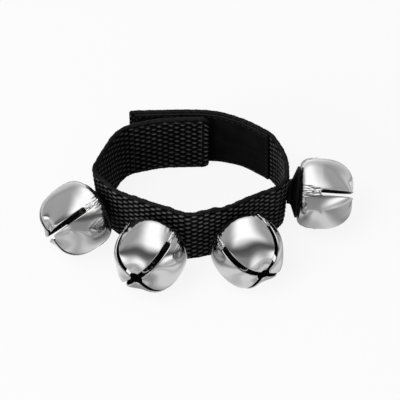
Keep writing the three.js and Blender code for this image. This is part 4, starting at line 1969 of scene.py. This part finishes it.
class Studio:
    """The pale floor, the glowing tent of painted reflections that the metal mirrors, the lamps and the
    camera.
    """

    # The camera: its place, its angle above the table in degrees, and its sensor and lens in millimetres.
    CAMERA_PLACE = Vector((0.937, -522.43, 616.47)) * MM
    CAMERA_ELEVATION = 49.0
    SENSOR = 36.0
    LENS = 204.48
    CLIP = (0.05, 10)

    # The tent: its size, its points, its brightness, and the ways that its light is measured along.
    TENT_RADIUS = 0.12
    TENT_ROWS = 25
    TENT_SEGMENTS = 48
    TENT_AHEAD = (0, -0.656, 0.755)
    TENT_ABOVE = (0, 0.755, 0.656)
    TENT_BESIDE = (1, 0, 0)
    TENT_STRENGTH = 1.9

    # Its brightness by the angle from the camera's way, up and over the cuff, in degrees, first in the
    # middle and then at the sides, and where the one passes into the other.
    MIDDLE = (
        (-180, 0.5), (-60, 0.33), (-45, 0.25), (-10, 0.22), (-4, 0.12), (7, 0.06), (13, 0.18),
        (20, 0.6), (28, 1.0), (88, 1.0), (103, 0.65), (114, 0.5), (128, 0.85), (150, 0.8),
        (180, 0.6),
    )
    SIDES = (
        (-180, 0.4), (-60, 0.3), (-50, 0.35), (-40, 0.5), (-30, 0.95), (-16, 1.0), (-9, 0.5),
        (-3, 0.12), (8, 0.07), (20, 0.16), (32, 0.3), (80, 0.33), (96, 0.28), (112, 0.42),
        (135, 0.55), (180, 0.5),
    )
    TENT_LEAN = 0.33
    SIDE_FROM = 0.46
    SIDE_TO = 0.86

    # The floor: its grey, how much of it glows white in the picture, and the glowing streaks that only the
    # metal mirrors: painted reflections.
    FLOOR_SIZE = 4.0
    FLOOR_GREY = 0.74
    FLOOR_WHITE = 0.88
    STREAKS_SCALE = (75.0, 12.0, 1.0)
    STREAK_LEVELS = ((0.34, 0.12), (0.5, 0.38), (0.66, 0.8))
    STREAK_GLOW = 1.9
    STREAK_SHARE = 0.5

    # The room's even light on the object, beside the full white that is seen.
    ROOM_LIGHT = 0.45

    def camera(self) -> None:
        """Sets the camera at the photograph's angle."""
        data = bpy.data.cameras.new("camera")
        data.sensor_width = self.SENSOR
        data.lens = self.LENS
        data.clip_start, data.clip_end = self.CLIP
        camera = bpy.data.objects.new("camera", data)
        camera.location = self.CAMERA_PLACE
        camera.rotation_euler = (math.radians(90 - self.CAMERA_ELEVATION), 0, 0)
        bpy.context.scene.collection.objects.link(camera)
        bpy.context.scene.camera = camera

    @staticmethod
    def _seen(n: Nodes) -> bpy.types.NodeSocket:
        """1 for rays from the camera, from metal and through glass, 0 for the light on the object."""
        path = n.add("LightPath").outputs
        mirrored = n.math("MAXIMUM", path["Is Glossy Ray"], path["Is Transmission Ray"])
        return n.math("MAXIMUM", path["Is Camera Ray"], mirrored)

    def floor(self) -> None:
        """Lays the floor, which keeps a soft shadow on its pale colour."""
        size = self.FLOOR_SIZE
        maker = PieceMaker()
        corners = [(-size, -size, 0), (size, -size, 0), (size, size, 0), (-size, size, 0)]
        maker.add(np.array(corners), [[0, 1, 2, 3]])
        n = new_material("pale_floor")
        plain = n.add("BsdfDiffuse", Color=(self.FLOOR_GREY, self.FLOOR_GREY, self.FLOOR_GREY, 1))
        # Painted reflections: a glowing streaked noise that only rays from the metal see.
        folds = n.noise(n.scaled(n.piece_vector(), self.STREAKS_SCALE), scale=1.0, detail=0.0)
        light = n.add("Emission", Color=n.ramp(folds, self.STREAK_LEVELS), Strength=self.STREAK_GLOW)
        pictured = n.blend(self.FLOOR_WHITE, plain, n.add("Emission", Strength=1.0))
        mirrored = n.blend(self.STREAK_SHARE, plain, light)
        shown = n.blend(n.add("LightPath").outputs["Is Camera Ray"], mirrored, pictured)
        maker.make("floor", n.finish(n.blend(self._seen(n), plain, shown)))

    def tent(self) -> None:
        """Hangs a glowing dome that only the metal mirrors: its bright panels and dark bands are painted
        reflections.
        """
        polar = np.linspace(-math.pi / 2, math.pi / 2, self.TENT_ROWS)
        outline = self.TENT_RADIUS * np.stack([np.cos(polar), np.sin(polar)], axis=1)
        maker = PieceMaker()
        maker.add(*lathe(outline, self.TENT_SEGMENTS, False))
        n = new_material("reflection_tent_glow")
        way = n.add("VectorMath", {"operation": "NORMALIZE"})
        n.feed(way.inputs[0], n.piece_vector())
        axes = (self.TENT_AHEAD, self.TENT_ABOVE, self.TENT_BESIDE)
        ahead, above, beside = (self._across(n, way, axis) for axis in axes)
        turn = n.math("DIVIDE", n.math("ARCTAN2", above, ahead), 2 * math.pi)
        level = n.math("ADD", turn, 0.5)
        side = n.weighted(n.math("ABSOLUTE", beside), (n.math("ABSOLUTE", above), self.TENT_LEAN))
        share = n.between(side, self.SIDE_FROM, self.SIDE_TO, "SMOOTHSTEP")
        middle, sides = (n.ramp(level, self._stops(levels)) for levels in (self.MIDDLE, self.SIDES))
        glow = n.add("Emission", Color=n.mix(share, middle, sides), Strength=self.TENT_STRENGTH)
        tent = maker.make("light_tent", n.finish(glow))
        tent.visible_camera = False
        tent.visible_diffuse = False
        tent.visible_shadow = False

    @staticmethod
    def _stops(levels: Sequence[tuple[float, float]]) -> list[tuple[float, float]]:
        """Stops of a ramp over a whole turn, from angles in degrees and grey levels."""
        return [(angle / 360 + 0.5, level) for angle, level in levels]

    @staticmethod
    def _across(n: Nodes, way: bpy.types.Node, axis: tuple[float, float, float]) -> bpy.types.NodeSocket:
        """How far a direction leans along an axis."""
        dot = n.add("VectorMath", {"operation": "DOT_PRODUCT"})
        n.feed(dot.inputs[0], way.outputs[0])
        dot.inputs[1].default_value = axis
        return dot.outputs["Value"]

    def lamp(
        self, name: str, way: tuple[float, float, float], gap: float, size: float, radiance: float
    ) -> None:
        """Hangs a square lamp that looks at the cuff.

        Args:
            name: Name of the lamp.
            way: Direction from the cuff.
            gap: Distance from it.
            size: Side of the lamp.
            radiance: Brightness of its face.
        """
        data = bpy.data.lights.new(name, "AREA")
        data.shape = "SQUARE"
        data.size = size
        data.energy = radiance * math.pi * size**2
        lamp = bpy.data.objects.new(name, data)
        place = Vector(way).normalized() * gap
        lamp.location = place
        lamp.rotation_mode = "QUATERNION"
        lamp.rotation_quaternion = (-place).to_track_quat("-Z", "Y")
        lamp.visible_camera = False
        lamp.visible_glossy = False
        bpy.context.scene.collection.objects.link(lamp)

    def world(self) -> None:
        """Sets the even light of the room, and the white that is seen behind the floor."""
        world = bpy.data.worlds.new("room")
        bpy.context.scene.world = world
        n = Nodes(world, "OutputWorld")
        strength = n.add("MapRange", Value=self._seen(n), To_Min=self.ROOM_LIGHT, To_Max=1.0)
        n.finish(n.add("Background", Color=(1, 1, 1, 1), Strength=strength.outputs["Result"]))

    def build(self) -> None:
        """Sets up the studio."""
        self.camera()
        self.floor()
        self.tent()
        self.world()
        self.lamp("key", way=(-0.4, -0.2, 0.9), gap=1.0, size=0.6, radiance=4.2)
        self.lamp("fill", way=(-0.75, -0.6, 0.35), gap=1.1, size=0.5, radiance=9.0)
        bpy.context.scene.view_settings.view_transform = "Standard"


def main() -> None:
    """Builds the studio, the strap, the tapes and the bells."""
    logging.basicConfig(level=logging.INFO, format="%(message)s")
    Studio().build()
    path = StrapPath(CUFF, BELL, Leans())
    Strap(path, Weave()).build()
    Patches(path).build()
    metals = {
        "nickel": MetalFinish(
            "polished_nickel", (0.53, 0.53, 0.53), roughness=0.12, clouding=0.04, hairlines=0.02
        ),
        # The ball's low grey makes it dark inside the bell: painted shade.
        "ball": MetalFinish("steel_ball", (0.36, 0.36, 0.37), roughness=0.15, clouding=0.1, hairlines=0.06),
        "rivet": MetalFinish(
            "rivet_nickel", (0.62, 0.62, 0.61), roughness=0.16, clouding=0.06, hairlines=0.08
        ),
    }
    finishes = {name: finish.build() for name, finish in {**metals, "disc": DiscFinish()}.items()}
    for number, seat in enumerate(SEAT_SHARES, 1):
        Bell(number, seat, BELL, finishes).build()


if __name__ == "__main__":
    main()
